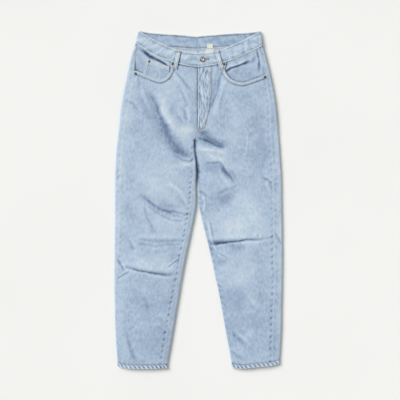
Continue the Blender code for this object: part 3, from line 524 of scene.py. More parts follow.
class Half:
    """One half of the garment: its outline, its seams and the form of its cloth."""

    def __init__(self, name, sign, table, band_columns):
        self.name = name
        self.sign = sign
        self.outer = column(table, 1)
        self.outseam_in = column(table, 2)
        self.inner_edge = column(table, 3)
        self.inseam_in = column(table, 4)
        low, high = band_columns
        self.band = {
            (1, 0): column(BAND_FRONT, low),
            (1, 1): column(BAND_FRONT, high),
            (-1, 0): column(BAND_BACK, low),
            (-1, 1): column(BAND_BACK, high),
        }
        self.hem = through(HEM_CURVE[name])

    def inner(self, y):
        return self.inner_edge(y) + HALF_SEAM

    def flat(self, y):
        """The width of the level part between the two folds."""
        return self.outer(y) - self.inner(y) - 2 * FOLD_RADIUS

    def reach(self, y):
        """The distance s at which the cross-section ends in the middle."""
        return 2 * QUARTER + self.flat(y)

    def closed(self, y):
        """1 on the legs, where the cross-section closes, and 0 on the hips."""
        return 1 - ease(y, CROTCH_Y, CROTCH_Y + CROTCH_RISE)

    def s_at(self, u, y):
        """The distance s of a point u on the level part, or beyond the middle line at the hips."""
        level = self.outer(y) + QUARTER - FOLD_RADIUS - u
        start = self.inner(y) + FOLD_RADIUS
        past = QUARTER + self.flat(y) + (start - u) * math.pi / 2
        return np.where(u > start, level, past)

    def along_fold(self, inset):
        """How far round a fold an inset from its edge lies."""
        turned = FOLD_RADIUS * np.arccos(1 - np.clip(inset, 0, FOLD_RADIUS) / FOLD_RADIUS)
        return turned + np.maximum(inset - FOLD_RADIUS, 0)

    def outseam(self, y):
        return self.along_fold(self.outseam_in(y))

    def inseam(self, y):
        """How far past the inner edge the inseam lies on top."""
        return self.along_fold(self.inseam_in(y))

    def unwrapped(self, s, y):
        """s, with the back leg's strip past the inner fold turned into a place on top."""
        reach = self.reach(y)
        return np.where((s < -reach) & (self.closed(y) > 0.5), 2 * reach + s, s)

    def turns(self, s, y):
        """How far the cross-section has turned over its outer and inner folds, as angles."""
        run = np.abs(s)
        turn_out = np.clip(run / FOLD_RADIUS, 0, math.pi / 2)
        turn_in = np.maximum((run - QUARTER - self.flat(y)) / FOLD_RADIUS, 0)
        return run, turn_out, turn_in, np.minimum(turn_in, math.pi / 2)

    def surface(self, s, y):
        """The surface of the solid's cloth at s and y."""
        s, y = np.broadcast_arrays(np.asarray(s, float), np.asarray(y, float))
        closed = self.closed(y)
        s = self.unwrapped(s, y)
        top = s >= 0
        run, turn_out, turn_in, bend_in = self.turns(s, y)
        outer, inner = self.outer(y), self.inner(y)
        u_out = outer - FOLD_RADIUS * (1 - np.cos(turn_out))
        u_flat = outer - FOLD_RADIUS - (run - QUARTER)
        round_in = inner + FOLD_RADIUS * (1 - np.sin(bend_in))
        level_in = inner + FOLD_RADIUS * (1 - turn_in * 2 / math.pi)
        u_in = closed * round_in + (1 - closed) * level_in
        u = np.where(run < QUARTER, u_out, np.where(turn_in > 0, u_in, u_flat))
        x = self.sign * u
        fade_out = np.sin(turn_out)
        fade_in = 1 - closed * (1 - np.cos(bend_in))
        share = np.clip((u - inner) / (outer - inner), 0, 1)
        leg = LEG_CROWN * np.sin(math.pi * share)
        hip = HIP_CROWN * (1 - np.clip(u / outer, -1, 1) ** 2)
        hips = ease(y, CROTCH_Y - 70, CROTCH_Y + 70)
        waist = 1 - 0.7 * ease(y, 380, 440)
        crown = (1 - hips) * leg + hips * hip * waist
        raised = (crown + folds(x, y)) * fade_out**2 * fade_in
        fall = FOLD_RADIUS * ((1 - np.sin(turn_out)) + closed * (1 - np.cos(bend_in)))
        lift = HIP_LIFT * ease(y, LIFT_FROM, LIFT_TO)
        z = lift + np.where(top, 2 * FOLD_RADIUS - fall + raised, fall)
        return np.stack([x, y, z], axis=-1)

    def soft(self, s, y):
        """The creases and unevenness that every piece on this cloth follows: outwards, and the tone."""
        s, y = np.broadcast_arrays(np.asarray(s, float), np.asarray(y, float))
        x = self.surface(s, y)[..., 0]
        s = self.unwrapped(s, y)
        top = s >= 0
        _, turn_out, _, bend_in = self.turns(s, y)
        closed = self.closed(y)
        fade = np.sin(turn_out) ** 2 * (1 - closed * (1 - np.cos(bend_in)))
        calm = 1 - 0.6 * ease(y, 400, 430)
        over, over_tone = creased(x, y, CREASES)
        over = over + FOLD_GAIN * folds(x, y)
        under, under_tone = creased(x, y, UNDER_CREASES)
        uneven = rumple(x, y)
        pressed = np.minimum(under - 0.5 + 0.5 * uneven, 0)
        height = np.where(top, over + uneven * calm, pressed) * fade
        # Tone: the creases' tone; the main folds paler on their heights and darker in their hollows, partly
        # wear and partly painted shade; the wash with its painted shade. On the next line the rumple is paler
        # on its heights in the same way.
        tone = np.where(top, over_tone + 0.10 * folds(x, y) + wash_and_shade(x, y), under_tone + 0.1)
        return height, tone + 0.16 * (uneven - 0.2)

    def place(self, s, y, out):
        """A point of the cloth at s and y, moved outwards from the solid's surface."""
        across = self.surface(s + PROBE, y) - self.surface(s - PROBE, y)
        along = self.surface(s, y + PROBE) - self.surface(s, y - PROBE)
        normal = np.cross(along, across) * self.sign
        normal /= np.linalg.norm(normal, axis=-1, keepdims=True)
        return self.surface(s, y) + normal * np.asarray(out, float)[..., None]

    def hem_drop(self, s, y):
        """How far below its row's height a point near the hem lies."""
        share = np.clip(np.abs(s) / self.reach(y), 0, 1)
        return (self.hem(share) - HEM_LEVEL) * (1 - ease(y, HEM_LEVEL, HEM_LEVEL + HEM_FADE))


RIGHT = Half("right", -1, RIGHT_TABLE, (1, 2))
LEFT = Half("left", 1, LEFT_TABLE, (3, 4))
HALVES = (RIGHT, LEFT)


def half_of(x):
    return RIGHT if x < 0 else LEFT


def band_edge(half, s, y, upper):
    """The height of the waistband's lower or upper edge at s."""
    share = np.abs(s) / half.reach(y)
    own = np.where(s >= 0, half.band[1, upper](share), half.band[-1, upper](share))
    other = LEFT if half is RIGHT else RIGHT
    return np.where(share > 1, other.band[1, upper](2 - share), own)


def thickness(y):
    """Cloth, and the turned-up hem's two layers."""
    return CLOTH + (HEM_THICK - CLOTH) * (1 - ease(y, HEM_LEVEL + HEM_HEIGHT, HEM_LEVEL + HEM_HEIGHT + 4))


def mouth_line(half, steps=4):
    """The pocket mouth's edge in x and y, smoothed through its points."""
    points = np.array(MOUTHS[half.name])
    places = np.arange(len(points))
    u = through(list(zip(places, points[:, 0])))
    y = through(list(zip(places, points[:, 1])))
    t = np.linspace(0, len(points) - 1, (len(points) - 1) * steps + 1)
    return half.sign * u(t), y(t)


def mouth_points(half, steps=6):
    """The mouth's edge, drawn on past both of its ends."""
    xs, ys = mouth_line(half, steps)
    start = (xs[0], ys[0] + 20.0)
    end = (half.sign * MOUTH_BEYOND[0][0], MOUTH_BEYOND[0][1])
    return [start, *zip(xs, ys), end]


def inside(x, y, corners):
    """Which points lie in a closed outline."""
    found = np.zeros(np.shape(x), bool)
    for (x1, y1), (x2, y2) in zip(corners, corners[1:] + corners[:1]):
        if y1 != y2:
            crosses = (y1 > y) != (y2 > y)
            found ^= crosses & (x < (x2 - x1) * (y - y1) / (y2 - y1) + x1)
    return found


def onto(x, y, points):
    """The nearest places on a line through points."""
    best = np.full(np.shape(x), 1e9)
    px, py = np.array(x, float), np.array(y, float)
    for (x1, y1), (x2, y2) in zip(points, points[1:]):
        length = math.hypot(x2 - x1, y2 - y1)
        ex, ey = (x2 - x1) / length, (y2 - y1) / length
        t = np.clip((x - x1) * ex + (y - y1) * ey, 0, length)
        qx, qy = x1 + t * ex, y1 + t * ey
        gap = np.hypot(x - qx, y - qy)
        px, py, best = np.where(gap < best, qx, px), np.where(gap < best, qy, py), np.minimum(gap, best)
    return px, py


# Meshes


def finished(name, verts, faces, finishes, stands_for, face_finish=None, attributes=None):
    """A smooth mesh in place, which rides on the frame and stands for its node."""
    mesh = bpy.data.meshes.new(name)
    mesh.from_pydata((np.asarray(verts) * MM).tolist(), [], faces)
    for finish in finishes:
        mesh.materials.append(materials[finish])
    if face_finish is not None:
        mesh.polygons.foreach_set("material_index", np.asarray(face_finish, np.int32))
    for key, (kind, values) in (attributes or {}).items():
        attribute = mesh.attributes.new(key, kind, "POINT")
        field = "vector" if kind == "FLOAT_VECTOR" else "value"
        attribute.data.foreach_set(field, np.asarray(values, np.float32).ravel())
    mesh.shade_smooth()
    mesh.set_sharp_from_angle(angle=math.radians(55))
    mesh.update()
    made = bpy.data.objects.new(name, mesh)
    bpy.context.scene.collection.objects.link(made)
    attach(made, "root")
    if stands_for:
        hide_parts(stands_for)
    return made


def shell(name, outer, under, tone, spot, finishes, stands_for, keep=None):
    """A thin closed shell from two grids of points. keep says which cells are cloth."""
    rows, cols = outer.shape[:2]
    keep = np.ones((rows - 1, cols - 1), bool) if keep is None else keep
    index = np.arange(rows * cols).reshape(rows, cols)
    below = index + rows * cols
    r, c = np.nonzero(keep)
    quads = [np.stack([index[r, c], index[r, c + 1], index[r + 1, c + 1], index[r + 1, c]], 1)]
    quads.append(np.stack([below[r, c], below[r + 1, c], below[r + 1, c + 1], below[r, c + 1]], 1))
    padded = np.pad(keep, 1)
    for dr, dc, a, b in ((-1, 0, (0, 1), (0, 0)), (1, 0, (1, 0), (1, 1)), (0, -1, (0, 0), (1, 0)),
                         (0, 1, (1, 1), (0, 1))):
        r, c = np.nonzero(keep & ~padded[1 + dr:rows + dr, 1 + dc:cols + dc])
        first, second = (r + a[0], c + a[1]), (r + b[0], c + b[1])
        quads.append(np.stack([index[first], index[second], below[second], below[first]], 1))
    faces = np.concatenate(quads)
    face_finish = np.zeros(len(faces), int)
    face_finish[len(quads[0]):len(quads[0]) * 2] = 1 if len(finishes) > 1 else 0
    verts = np.concatenate([outer.reshape(-1, 3), under.reshape(-1, 3)])
    middle = quads[0][len(quads[0]) // 2]
    p, q, w = (verts[middle[k]] for k in (0, 1, 2))
    if np.dot(np.cross(q - p, w - p), verts[middle[0]] - verts[middle[0] + rows * cols]) < 0:
        faces = faces[:, ::-1]
    used, compact = np.unique(faces, return_inverse=True)
    tones = np.concatenate([tone.ravel(), tone.ravel()])[used]
    spots = np.concatenate([spot.reshape(-1, 3), spot.reshape(-1, 3)])[used] * MM
    attributes = {"tone": ("FLOAT", tones), "spot": ("FLOAT_VECTOR", spots)}
    return finished(
        name, verts[used], compact.reshape(faces.shape).tolist(), finishes, stands_for, face_finish,
        attributes
    )


def spots(half, s, y):
    """Places on the flat cloth, for the weave."""
    return np.stack([s + 400 * half.sign, y, np.zeros_like(s)], axis=-1)


def clustered(count, pull=0.35):
    """Even steps from 0 to 1, closer together towards both ends."""
    t = np.linspace(0, 1, count + 1)
    return t - pull * np.sin(math.tau * t) / math.tau


FRONT_COLUMNS, BACK_COLUMNS = 104, 84
SHAPED_TO = 340.0


def panel_grid(half, ends, top_edge, columns, row_step):
    """The s and y of a leg panel: rows shaped to its top edge, then straight ones to the hem."""
    shaped = np.linspace(0, 1, int(110 / row_step) + 1)[:-1]
    levels = np.append(np.arange(SHAPED_TO, HEM_LEVEL + 17, -row_step), HEM_LEVEL + np.linspace(17, 0, 12))
    share = np.append(shaped, np.ones(len(levels)))[:, None]
    level = np.append(np.full(len(shaped), SHAPED_TO), levels)[:, None]
    t = clustered(columns)[None, :]
    y = np.broadcast_to(level + 90 * (1 - share), (len(share), columns + 1)).copy()
    for _ in range(6):
        start, end = ends(y)
        s = start + (end - start) * t
        y = np.where(share < 1, top_edge(s, y) * (1 - share) + SHAPED_TO * share, level)
    y = y + half.hem_drop(s, y)
    start, end = ends(y)
    return start + (end - start) * t, y


def hem_features(half, s, y):
    """The turned-up hem: its swelling, the light and dark twist that washing leaves on it, and painted shade
    in the groove above it.
    """
    base = half.hem(np.clip(np.abs(half.unwrapped(s, y)) / half.reach(y), 0, 1))
    up = y - base
    band = 1 - ease(up, HEM_HEIGHT - 1.5, HEM_HEIGHT + 1.5)
    twist = np.sin((s - half.sign * 0.8 * up) * math.tau / HEM_TWIST + 0.8 * np.sin(s / 23))
    gutter = bell(up - HEM_HEIGHT - 1.2, 1.6)
    height = band * (0.45 + 0.35 * twist) - 0.5 * gutter
    # Tone: the twist and a pale worn edge; painted shade darkens the groove above the hem.
    return height, band * (1.2 * twist * bell(up - 5, 5.0)) - 0.7 * gutter + 0.4 * bell(up, 1.6)


def groove_features(half, s, y):
    """The groove where the thighs meet: the inner folds bulge until they touch, and painted shade darkens it.
    """
    at = np.abs(half.unwrapped(s, y))
    bend = ease(at, half.reach(y) - 1.2 * QUARTER, half.reach(y))
    stretch = ease(y, 34, 84) * (1 - ease(y, CROTCH_Y, CROTCH_Y + CROTCH_RISE))
    gap = LEFT.inner(y) + RIGHT.inner(y)
    # Painted shade: the groove's cloth darkened in colour.
    return stretch * bend * np.maximum(gap / 2 - 0.25, 0), -2.4 * stretch * bend


def seam_features(half, s, y):
    """Welts, wear and dimples beside the long seams of the legs, and painted light on the right-hand folds:
    height and tone.
    """
    closed = half.closed(y)
    at = half.unwrapped(s, y)
    out_gap = at - half.outseam(y)
    in_gap = half.reach(y) - half.inseam(y) - at
    wiggle = y + 6 * np.sin(y / 90)
    lower = 0.45 + 0.55 * ease(-y, 40, 110)
    share = 0.4 if half is RIGHT else 1.0
    dent_out = puckers(out_gap, wiggle, 41 + half.sign, 18.5, 6.0, 3.8) * lower * share
    dent_in = puckers(in_gap, wiggle, 51 + half.sign, 18.0, 6.5, 4.0) * closed * (1.5 - 0.5 * half.sign) / 2
    strip = puckers(-out_gap, wiggle, 61 + half.sign, 23.0, 6.5, 4.4) * 0.35
    welt = bell(out_gap, 7.0) * 0.35 + bell(in_gap, 8.0) * 0.4 * closed
    edge = bell(out_gap, 1.7) + bell(in_gap, 1.9) * closed
    dents = dent_out + dent_in + strip
    # Painted light: the right-hand folds (the left half's outer one, the right half's inner one) face away
    # from the key light and are painted paler, along with their wear.
    painted_light_and_wear = 0.55 * bell(at, 6.0) * (at > -7) * (half is LEFT)
    painted_light_and_wear = painted_light_and_wear + 0.4 * bell(half.reach(y) - at, 6.0) * closed * (half is RIGHT)
    return welt - 1.1 * dents, 0.5 * edge + painted_light_and_wear - 1.15 * dents


def mouth_features(half, x, y):
    """The hem round a pocket mouth: height, tone and the distance from the edge."""
    off, along, _ = to_line(x, y, mouth_points(half))
    gap = np.abs(off)
    band = 1 - ease(gap, MOUTH_HEM - 1.5, MOUTH_HEM + 1.0)
    ticks = np.sin((along + 0.9 * gap) * math.tau / 7.0 + 1.6 * np.sin(along / 13))
    gutter = bell(gap - MOUTH_HEM - 1.4, 1.8)
    height = band * (1.25 + 0.15 * ticks) - 0.7 * gutter
    # Tone: the hem's twist and a pale worn edge; painted shade darkens the groove beside the hem.
    tone = band * (0.22 + 0.75 * ticks * bell(gap - 5, 3.4)) + 0.4 * bell(gap, 1.6) - 1.0 * gutter
    return height, tone, gap


def waist_features(half, s, y):
    """Where a panel runs into the waistband's seam."""
    gap = band_edge(half, s, y, 0) - y
    dents = puckers(gap, s, 71 + half.sign, 12.0, 5.0, 3.4)
    # Tone: painted shadow of the band along the panel just under its seam; the dimples darker.
    return 0.25 * bell(gap - 6, 4) - 0.6 * dents, -1.0 * bell(gap - 1.5, 2.6) - 0.6 * dents


def fly_features(x, y):
    """The left front's fly: two more layers between its edge and the curved stitches, marbled by wear, with
    painted shade in the groove beside the stitches and beside its edge.
    """
    off, _, _ = to_line(x, y, FLY_STITCH)
    within = ease(-off, -1.0, 2.0) * (x < 44) * ease(y, 212, 222) * (x > -4)
    streaks = np.tanh(1.3 * waves(x, y, 81, 10, 0, 60, 40)) + 0.7 * np.tanh(waves(x, y, 82, 24, 20, 110, 40))
    gutter = bell(off - 1.4, 1.8) * (y > 214) * (x < 48)
    edge = bell(x + 1.6, 2.2) * ease(y, 196, 214)
    height = 0.6 * within + 0.16 * within * streaks - 0.4 * gutter + 0.35 * edge
    # Tone: marbling and the pale worn edge; painted shade in the groove by the stitches and in a line just
    # inside the edge.
    return height, within * 0.5 * streaks + 0.9 * edge - 0.7 * gutter - 0.5 * bell(x - 3.4, 2.0) * within


def middle_features(half, s, y):
    """The seam between the fly's end and the crotch, and the right front where it dips under the fly,
    darkened there with painted shade.
    """
    gap = half.reach(y) - s
    seam = bell(gap, 2.2) * (1 - half.closed(y)) * (1 - ease(y, FLY_END, FLY_END + 12))
    under = bell(gap, FLY_STEP_WIDTH) * ease(y, 205, 235) if half is RIGHT else 0 * y
    groove = bell(gap - 1.0, 3.0) * ease(y, 212, 235) if half is RIGHT else 0 * y
    # Tone: a pale seam; painted shade where the right front dips under the fly and in a groove beside the
    # fly's edge.
    return -FLY_STEP * under + 0.3 * seam, 0.5 * seam - 0.35 * under - 0.9 * groove


def panel_detail(half, s, y):
    """All that a leg panel adds to the solid's surface: height and tone."""
    x = half.surface(s, y)[..., 0]
    height, tone = half.soft(s, y)
    parts = [seam_features(half, s, y), hem_features(half, s, y), waist_features(half, s, y)]
    bulge, dark = groove_features(half, s, y)
    front_side = half.unwrapped(s, y) > half.outseam(y)
    mouth = mouth_features(half, x, y)
    parts.append((mouth[0] * front_side, mouth[1] * front_side))
    middle = middle_features(half, s, y)
    parts.append((middle[0] * front_side, (middle[1] - loop_shade(x, y)) * front_side))
    if half is LEFT:
        fly = fly_features(x, y)
        parts.append((fly[0] * front_side, fly[1] * front_side))
    for more, paler in parts:
        height = height + more
        tone = tone + paler
    level = np.where(half.unwrapped(s, y) < 0, np.minimum(height, 0.05), height)
    return level + bulge, tone + dark


def front(half):
    def ends(y):
        start = half.outseam(y) + HALF_SEAM
        return start, half.reach(y) - half.inseam(y) - HALF_SEAM * half.closed(y)

    def top_edge(s, y):
        return band_edge(half, s, y, 0) - WAIST_GAP

    s, y = panel_grid(half, ends, top_edge, FRONT_COLUMNS, 2.3)
    x = half.surface(s, y)[..., 0]
    line = mouth_points(half)
    corners = line + [(half.sign * u, v) for u, v in MOUTH_BEYOND[1:]]
    centre_x = (x[1:, 1:] + x[1:, :-1] + x[:-1, 1:] + x[:-1, :-1]) / 4
    centre_y = (y[1:, 1:] + y[1:, :-1] + y[:-1, 1:] + y[:-1, :-1]) / 4
    keep = ~inside(centre_x, centre_y, corners)
    around = np.pad(keep, 1, mode="edge")
    touched = [around[r:r + y.shape[0], c:c + y.shape[1]] for r in (0, 1) for c in (0, 1)]
    border = np.any(touched, axis=0) & ~np.all(touched, axis=0)
    px, py = onto(x[border], y[border], line)
    y[border] = py
    s[border] = half.s_at(half.sign * px, py)
    height, tone = panel_detail(half, s, y)
    outer = half.place(s, y, height)
    under = half.place(s, y, height - thickness(y))
    return shell(
        f"front_{half.name}_cloth", outer, under, tone, spots(half, s, y), ("denim", "reverse"),
        "front_" + half.name, keep
    )


def yoke_seam(half, s, y):
    """The height of the seam between yoke and back leg at s."""
    out = half.outseam(y)
    share = np.clip((out - s) / (out + half.reach(y)), 0, 1)
    return YOKE_AT_OUTSEAM + (YOKE_AT_MIDDLE - YOKE_AT_OUTSEAM) * share


def back_ends(half, y):
    start = half.outseam(y) - HALF_SEAM
    return start, -half.reach(y) - half.inseam(y) + HALF_SEAM * half.closed(y)


def yoke_welt(half, s, y):
    gap = yoke_seam(half, s, y) - y
    return 0.3 * bell(gap, 6), 0.35 * bell(gap, 2.2) - 0.2 * bell(np.abs(gap) - 7, 2)


def back(half):
    def top_edge(s, y):
        return yoke_seam(half, s, y) - HALF_SEAM

    s, y = panel_grid(half, lambda y: back_ends(half, y), top_edge, BACK_COLUMNS, 3.0)
    height, tone = panel_detail(half, s, y)
    welt, pale = yoke_welt(half, s, y)
    height = np.where(s < 0, height, height + welt)
    outer = half.place(s, y, height)
    under = half.place(s, y, height - thickness(y))
    return shell(
        f"back_{half.name}_cloth", outer, under, tone + pale, spots(half, s, y), ("denim", "reverse"),
        "back_" + half.name
    )


def yoke(half):
    down = np.linspace(0, 1, 25)[:, None]
    t = clustered(120)[None, :]
    y = np.full((25, 121), 450.0)
    for _ in range(6):
        start, end = back_ends(half, y)
        s = start + (end - start) * t
        top = band_edge(half, s, y, 0) - SEAM_GAP
        y = top + (yoke_seam(half, s, y) + HALF_SEAM - top) * down
    height, tone = panel_detail(half, s, y)
    welt, pale = yoke_welt(half, s, y)
    height = np.where(s < 0, height, height + welt)
    outer = half.place(s, y, height)
    under = half.place(s, y, height - CLOTH)
    return shell(
        f"yoke_{half.name}_cloth", outer, under, tone + pale, spots(half, s, y), ("denim", "reverse"),
        "yoke_" + half.name
    )


def loop_shade(x, y):
    """The dark line beside each front loop, deeper on the side away from the light."""
    shade = np.zeros(np.broadcast(x, y).shape)
    for _, x_top, y_top, x_low, y_low, side in LOOPS:
        if side > 0:
            off, along, length = to_line(x, y, ((x_top, y_top), (x_low, y_low - 3)))
            beside = bell(np.abs(off) - LOOP_WIDTH / 2 - 1.5, 2.2) * np.where(off > 0, 1.3, 0.6)
            shade = shade + beside * (along < length)
    return shade


def band_detail(half, s, v, y):
    """The waistband's swelling between its edges, its dimples, its marbling, and painted shade in the dips
    inside its edges and beside the front loops.
    """
    height, tone = half.soft(s, y)
    from_back = half.sign * (s + half.reach(y))
    from_edge = np.minimum(v, 1 - v) * BAND_WIDE
    swell = 0.6 * ease(from_edge, 0.5, 5.0) - 0.5 * bell(from_edge - 4.6, 1.6)
    dents = puckers(v * BAND_WIDE, from_back, 91, 8.5, 7.0, 3.0)
    dents = dents + 0.5 * puckers((1 - v) * BAND_WIDE, from_back, 92, 12.0, 7.0, 3.0)
    streaks = np.tanh(1.2 * waves(from_back, y, 93, 20, 60, 100))
    level = np.where(s >= 0, height * 0.7, 0) + swell + 0.25 * streaks - 0.6 * dents
    twist = np.sin((from_back + 0.9 * from_edge) * math.tau / 7.4 + 1.4 * np.sin(from_back / 19))
    # Tone: pale worn edges, marbling, darker dimples, and painted shade in the dip inside each edge.
    pale = 1.1 * bell(from_edge, 1.9) + 0.32 * streaks - 0.8 * dents - 0.6 * bell(from_edge - 4.6, 1.4)
    pale = pale + 0.45 * twist * bell(from_edge - 4.0, 3.0)
    place_x = half.surface(s, y)[..., 0]
    pale = pale - loop_shade(place_x, y) * (s > 0)
    return np.where(s >= 0, level, np.minimum(level, 0.35)), tone * 0.6 + pale + 0.25


def band_places(half, columns, rows):
    """The s, y and v of the waistband on one half, from its front end to the back middle."""
    v = np.linspace(1, 0, rows + 1)[:, None]
    t = np.linspace(0, 1, columns + 1)[None, :]
    y = np.full((rows + 1, columns + 1), 460.0)
    for _ in range(7):
        reach = half.reach(y)
        if half is LEFT:
            far = half.s_at(half.inner(y) + (1.5 - LAP_SHEER * v) + 0.2, y)
        else:
            far = half.s_at(half.inner(y) - UNDERLAP_LENGTH, y)
        s = far + (-reach - far) * t
        low = band_edge(half, s, y, 0)
        high = band_edge(half, s, y, 1)
        y = low + (high - low) * v
    return s, y, np.broadcast_to(v, y.shape)


def waistband():
    """One strip round the waist: the right end runs under the left one at centre front."""
    layers = []
    for half, columns in ((RIGHT, 220), (LEFT, 200)):
        s, y, v = band_places(half, columns, 24)
        x = half.surface(s, y)[..., 0]
        level, tone = band_detail(half, s, v, y)
        out = BAND_PROUD + level
        if half is RIGHT:
            lap = ease(s - half.reach(y), -34, -13)
            out = BAND_PROUD + level * (1 - lap) - LAP_DROP * lap
            # Painted shade: the right end darker where it runs under the left one.
            tone = tone - 0.3 * bell(s - half.reach(y) + 5, 6)
        else:
            end = half.s_at(half.inner(y) + (1.5 - LAP_SHEER * v) + 0.2, y) - s
            out = out + 0.25 * bell(end, 3)
            tone = tone + 0.9 * bell(end, 2) - 0.4 * bell(end - 5, 2)
        spot = np.stack([half.sign * (s + half.reach(y)), y + 900, 0 * s], axis=-1)
        grid = [half.place(s, y, out), half.place(s, y, out - BAND_THICK), tone, spot]
        if half is LEFT:
            grid = [part[:, ::-1] for part in grid]
        layers.append(grid)
    outer, under, tone, spot = (np.concatenate(pair, axis=1) for pair in zip(*layers))
    return shell(
        "waistband_cloth", outer, under, tone, spot, ("denim", "band_inside"), "waistband"
    )


def facing_depth(half, x, y):
    """How far under the panel's surface the facing lies: least away from the mouth's edge."""
    x, y = np.asarray(x, float), np.asarray(y, float)
    xs, ys = mouth_line(half)
    gap = np.hypot(x[..., None] - xs, y[..., None] - ys).min(axis=-1)
    highest = np.interp(np.abs(x), np.abs(xs), ys)
    opened = (y > highest) & (np.abs(x) > np.abs(xs).min())
    return FACING_DEPTH[half.name] * (1 - 0.92 * ease(np.where(opened, gap, 0), 3, FACING_SLOPE))


def facing_detail(half, s, y):
    """The facing's own surface under the panel's: height and tone."""
    x = half.surface(s, y)[..., 0]
    dip, shade = creased(x, y, FACING_CREASES)
    uneven = rumple(x * 1.3 + 500, y * 1.3)
    _, _, gap = mouth_features(half, x, y)
    shade = 1.5 * shade - 0.16 + 0.12 * waves(x, y, 95, 30, 20, 80) - 0.9 * bell(gap, 4.0)
    return -facing_depth(half, x, y) + np.minimum(dip + 0.4 * (uneven - 0.8), 0.1), shade


def facing(half):
    down = np.linspace(0, 1, 49)[:, None]
    t = np.linspace(0, 1, 65)[None, :]
    y = np.full((49, 65), 440.0)
    for _ in range(6):
        out = half.outseam(y) + HALF_SEAM
        s = out + (half.s_at(FACING_INNER_U, y) - out) * t
        top = band_edge(half, s, y, 0) - SEAM_GAP
        y = top + (FACING_LOWEST - top) * down
    height, tone = facing_detail(half, s, y)
    outer = half.place(s, y, height)
    under = half.place(s, y, height - CLOTH)
    return shell(
        f"facing_{half.name}_cloth", outer, under, tone, spots(half, s, y + 300), ("denim", "reverse"),
        "facing_" + half.name
    )


def coin_place(a, b):
    """The s and y of a place on the coin pocket: a across, b down."""
    corners = [np.array(c) for c in COIN_CORNERS]
    u, y = (
        (corners[0][k] * (1 - a) + corners[1][k] * a) * (1 - b)
        + (corners[2][k] * (1 - a) + corners[3][k] * a) * b
        for k in (0, 1)
    )
    return RIGHT.s_at(u, y), y


def coin_out(s, y):
    """The outer face of the coin pocket, over the facing."""
    return facing_detail(RIGHT, s, y)[0] + SEAM_GAP + CLOTH


def coin_pocket():
    b, a = np.meshgrid(np.linspace(0, 1, 29), np.linspace(0, 1, 45), indexing="ij")
    s, y = coin_place(a, b)
    from_top = b * 50
    from_side = a * 68
    band = 1 - ease(from_top, COIN_BAND - 1, COIN_BAND + 1)
    side = 1 - ease(from_side, 6.5, 8.5)
    hem = np.maximum(band, side)
    ticks = np.sin((a * 68 + b * 50) * math.tau / 6.4)
    out = coin_out(s, y) + 0.5 * hem + 0.2 * waves(s, y, 97, 25)
    tone = hem * (0.5 + 0.25 * ticks) - 0.15 * (1 - hem) + 0.4 * bell(from_top, 1.5)
    return shell(
        "coin_pocket_cloth", RIGHT.place(s, y, out), RIGHT.place(s, y, out - CLOTH), tone,
        spots(RIGHT, s, y + 600), ("denim", "reverse"), "coin_pocket"
    )


def panel_out(half, s, y):
    """The outer face of the cloth, with all of its detail, where threads and loops lie."""
    return panel_detail(half, s, y)[0]


def band_out(half, s, y):
    """The outer face of the waistband."""
    low, high = band_edge(half, s, y, 0), band_edge(half, s, y, 1)
    v = np.clip((y - low) / (high - low), 0, 1)
    return BAND_PROUD + band_detail(half, s, v, y)[0]


def loop_out(half, s, y, v, side):
    """The underside of a belt loop: over the band, and down on the panel under it."""
    on_band = ease(y - band_edge(half, s, y, 0), -9.5, -1.5)
    bulge = LOOP_BULGE * np.sin(math.pi * np.clip(v * 1.1, 0, 1)) ** 2 if side > 0 else 0
    cloth = panel_out(half, s, y) * (1 - on_band) + (band_out(half, s, y) - BAND_PROUD) * on_band
    return SEAM_GAP + np.maximum(cloth, 0) * (side > 0) + BAND_PROUD * on_band + bulge


def loop_place(loop, across, v):
    _, x_top, y_top, x_low, y_low, side = loop
    half = half_of(x_top + x_low)
    x = x_top + (x_low - x_top) * v + across * LOOP_WIDTH
    y = y_top + (y_low - y_top) * v
    return half, side * half.s_at(half.sign * x, y), y


def belt_loop(loop):
    """A strip sewn over the waistband, its turned-in edges shown as pale rims, and rounded over its ends."""
    v, across = np.meshgrid(np.linspace(0, 1, 49), np.linspace(-0.5, 0.5, 13), indexing="ij")
    side = loop[-1]
    half, s, y = loop_place(loop, across, v)
    rim = 0.5 - np.abs(across)
    out = loop_out(half, s, y, v, side)
    swell = 0.3 * np.sin(math.pi * (0.5 + across)) + 0.15 * waves(s, y, 99, 14) if side > 0 else 0
    # Tone: pale rims and a paler middle; painted shade darkens the cloth just inside both tacked ends. A
    # darker line runs inside each rim.
    middle = bell(across, 0.16)
    tone = 1.0 * bell(rim, 0.1) - 0.5 * bell(rim - 0.2, 0.07) + 0.6 * middle + 0.35
    tone = tone - 0.8 * bell(v - 0.9, 0.03) - 0.8 * bell(v - 0.1, 0.03)
    return shell(
        loop[0] + "_cloth", half.place(s, y, out + LOOP_THICK + swell), half.place(s, y, out), tone,
        spots(half, s, y + 1200), ("denim", "reverse"), loop[0]
    )


def fly_piece(node, u_from, u_to, depth, thick, finishes):
    """A strip under the fly, made from the left front's points moved in."""
    share, across = np.meshgrid(np.linspace(0, 1, 64), np.linspace(0, 1, 13), indexing="ij")
    y = FLY_TOP + (FLY_END - FLY_TOP) * share
    u = u_from + (u_to - u_from) * across
    s = LEFT.s_at(u, y)
    tone = 0.1 * waves(u, y, 98, 20)
    return shell(
        node + "_cloth", LEFT.place(s, y, 0 * y - depth), LEFT.place(s, y, 0 * y - depth - thick), tone,
        spots(LEFT, s, y + 1500), finishes, node
    )


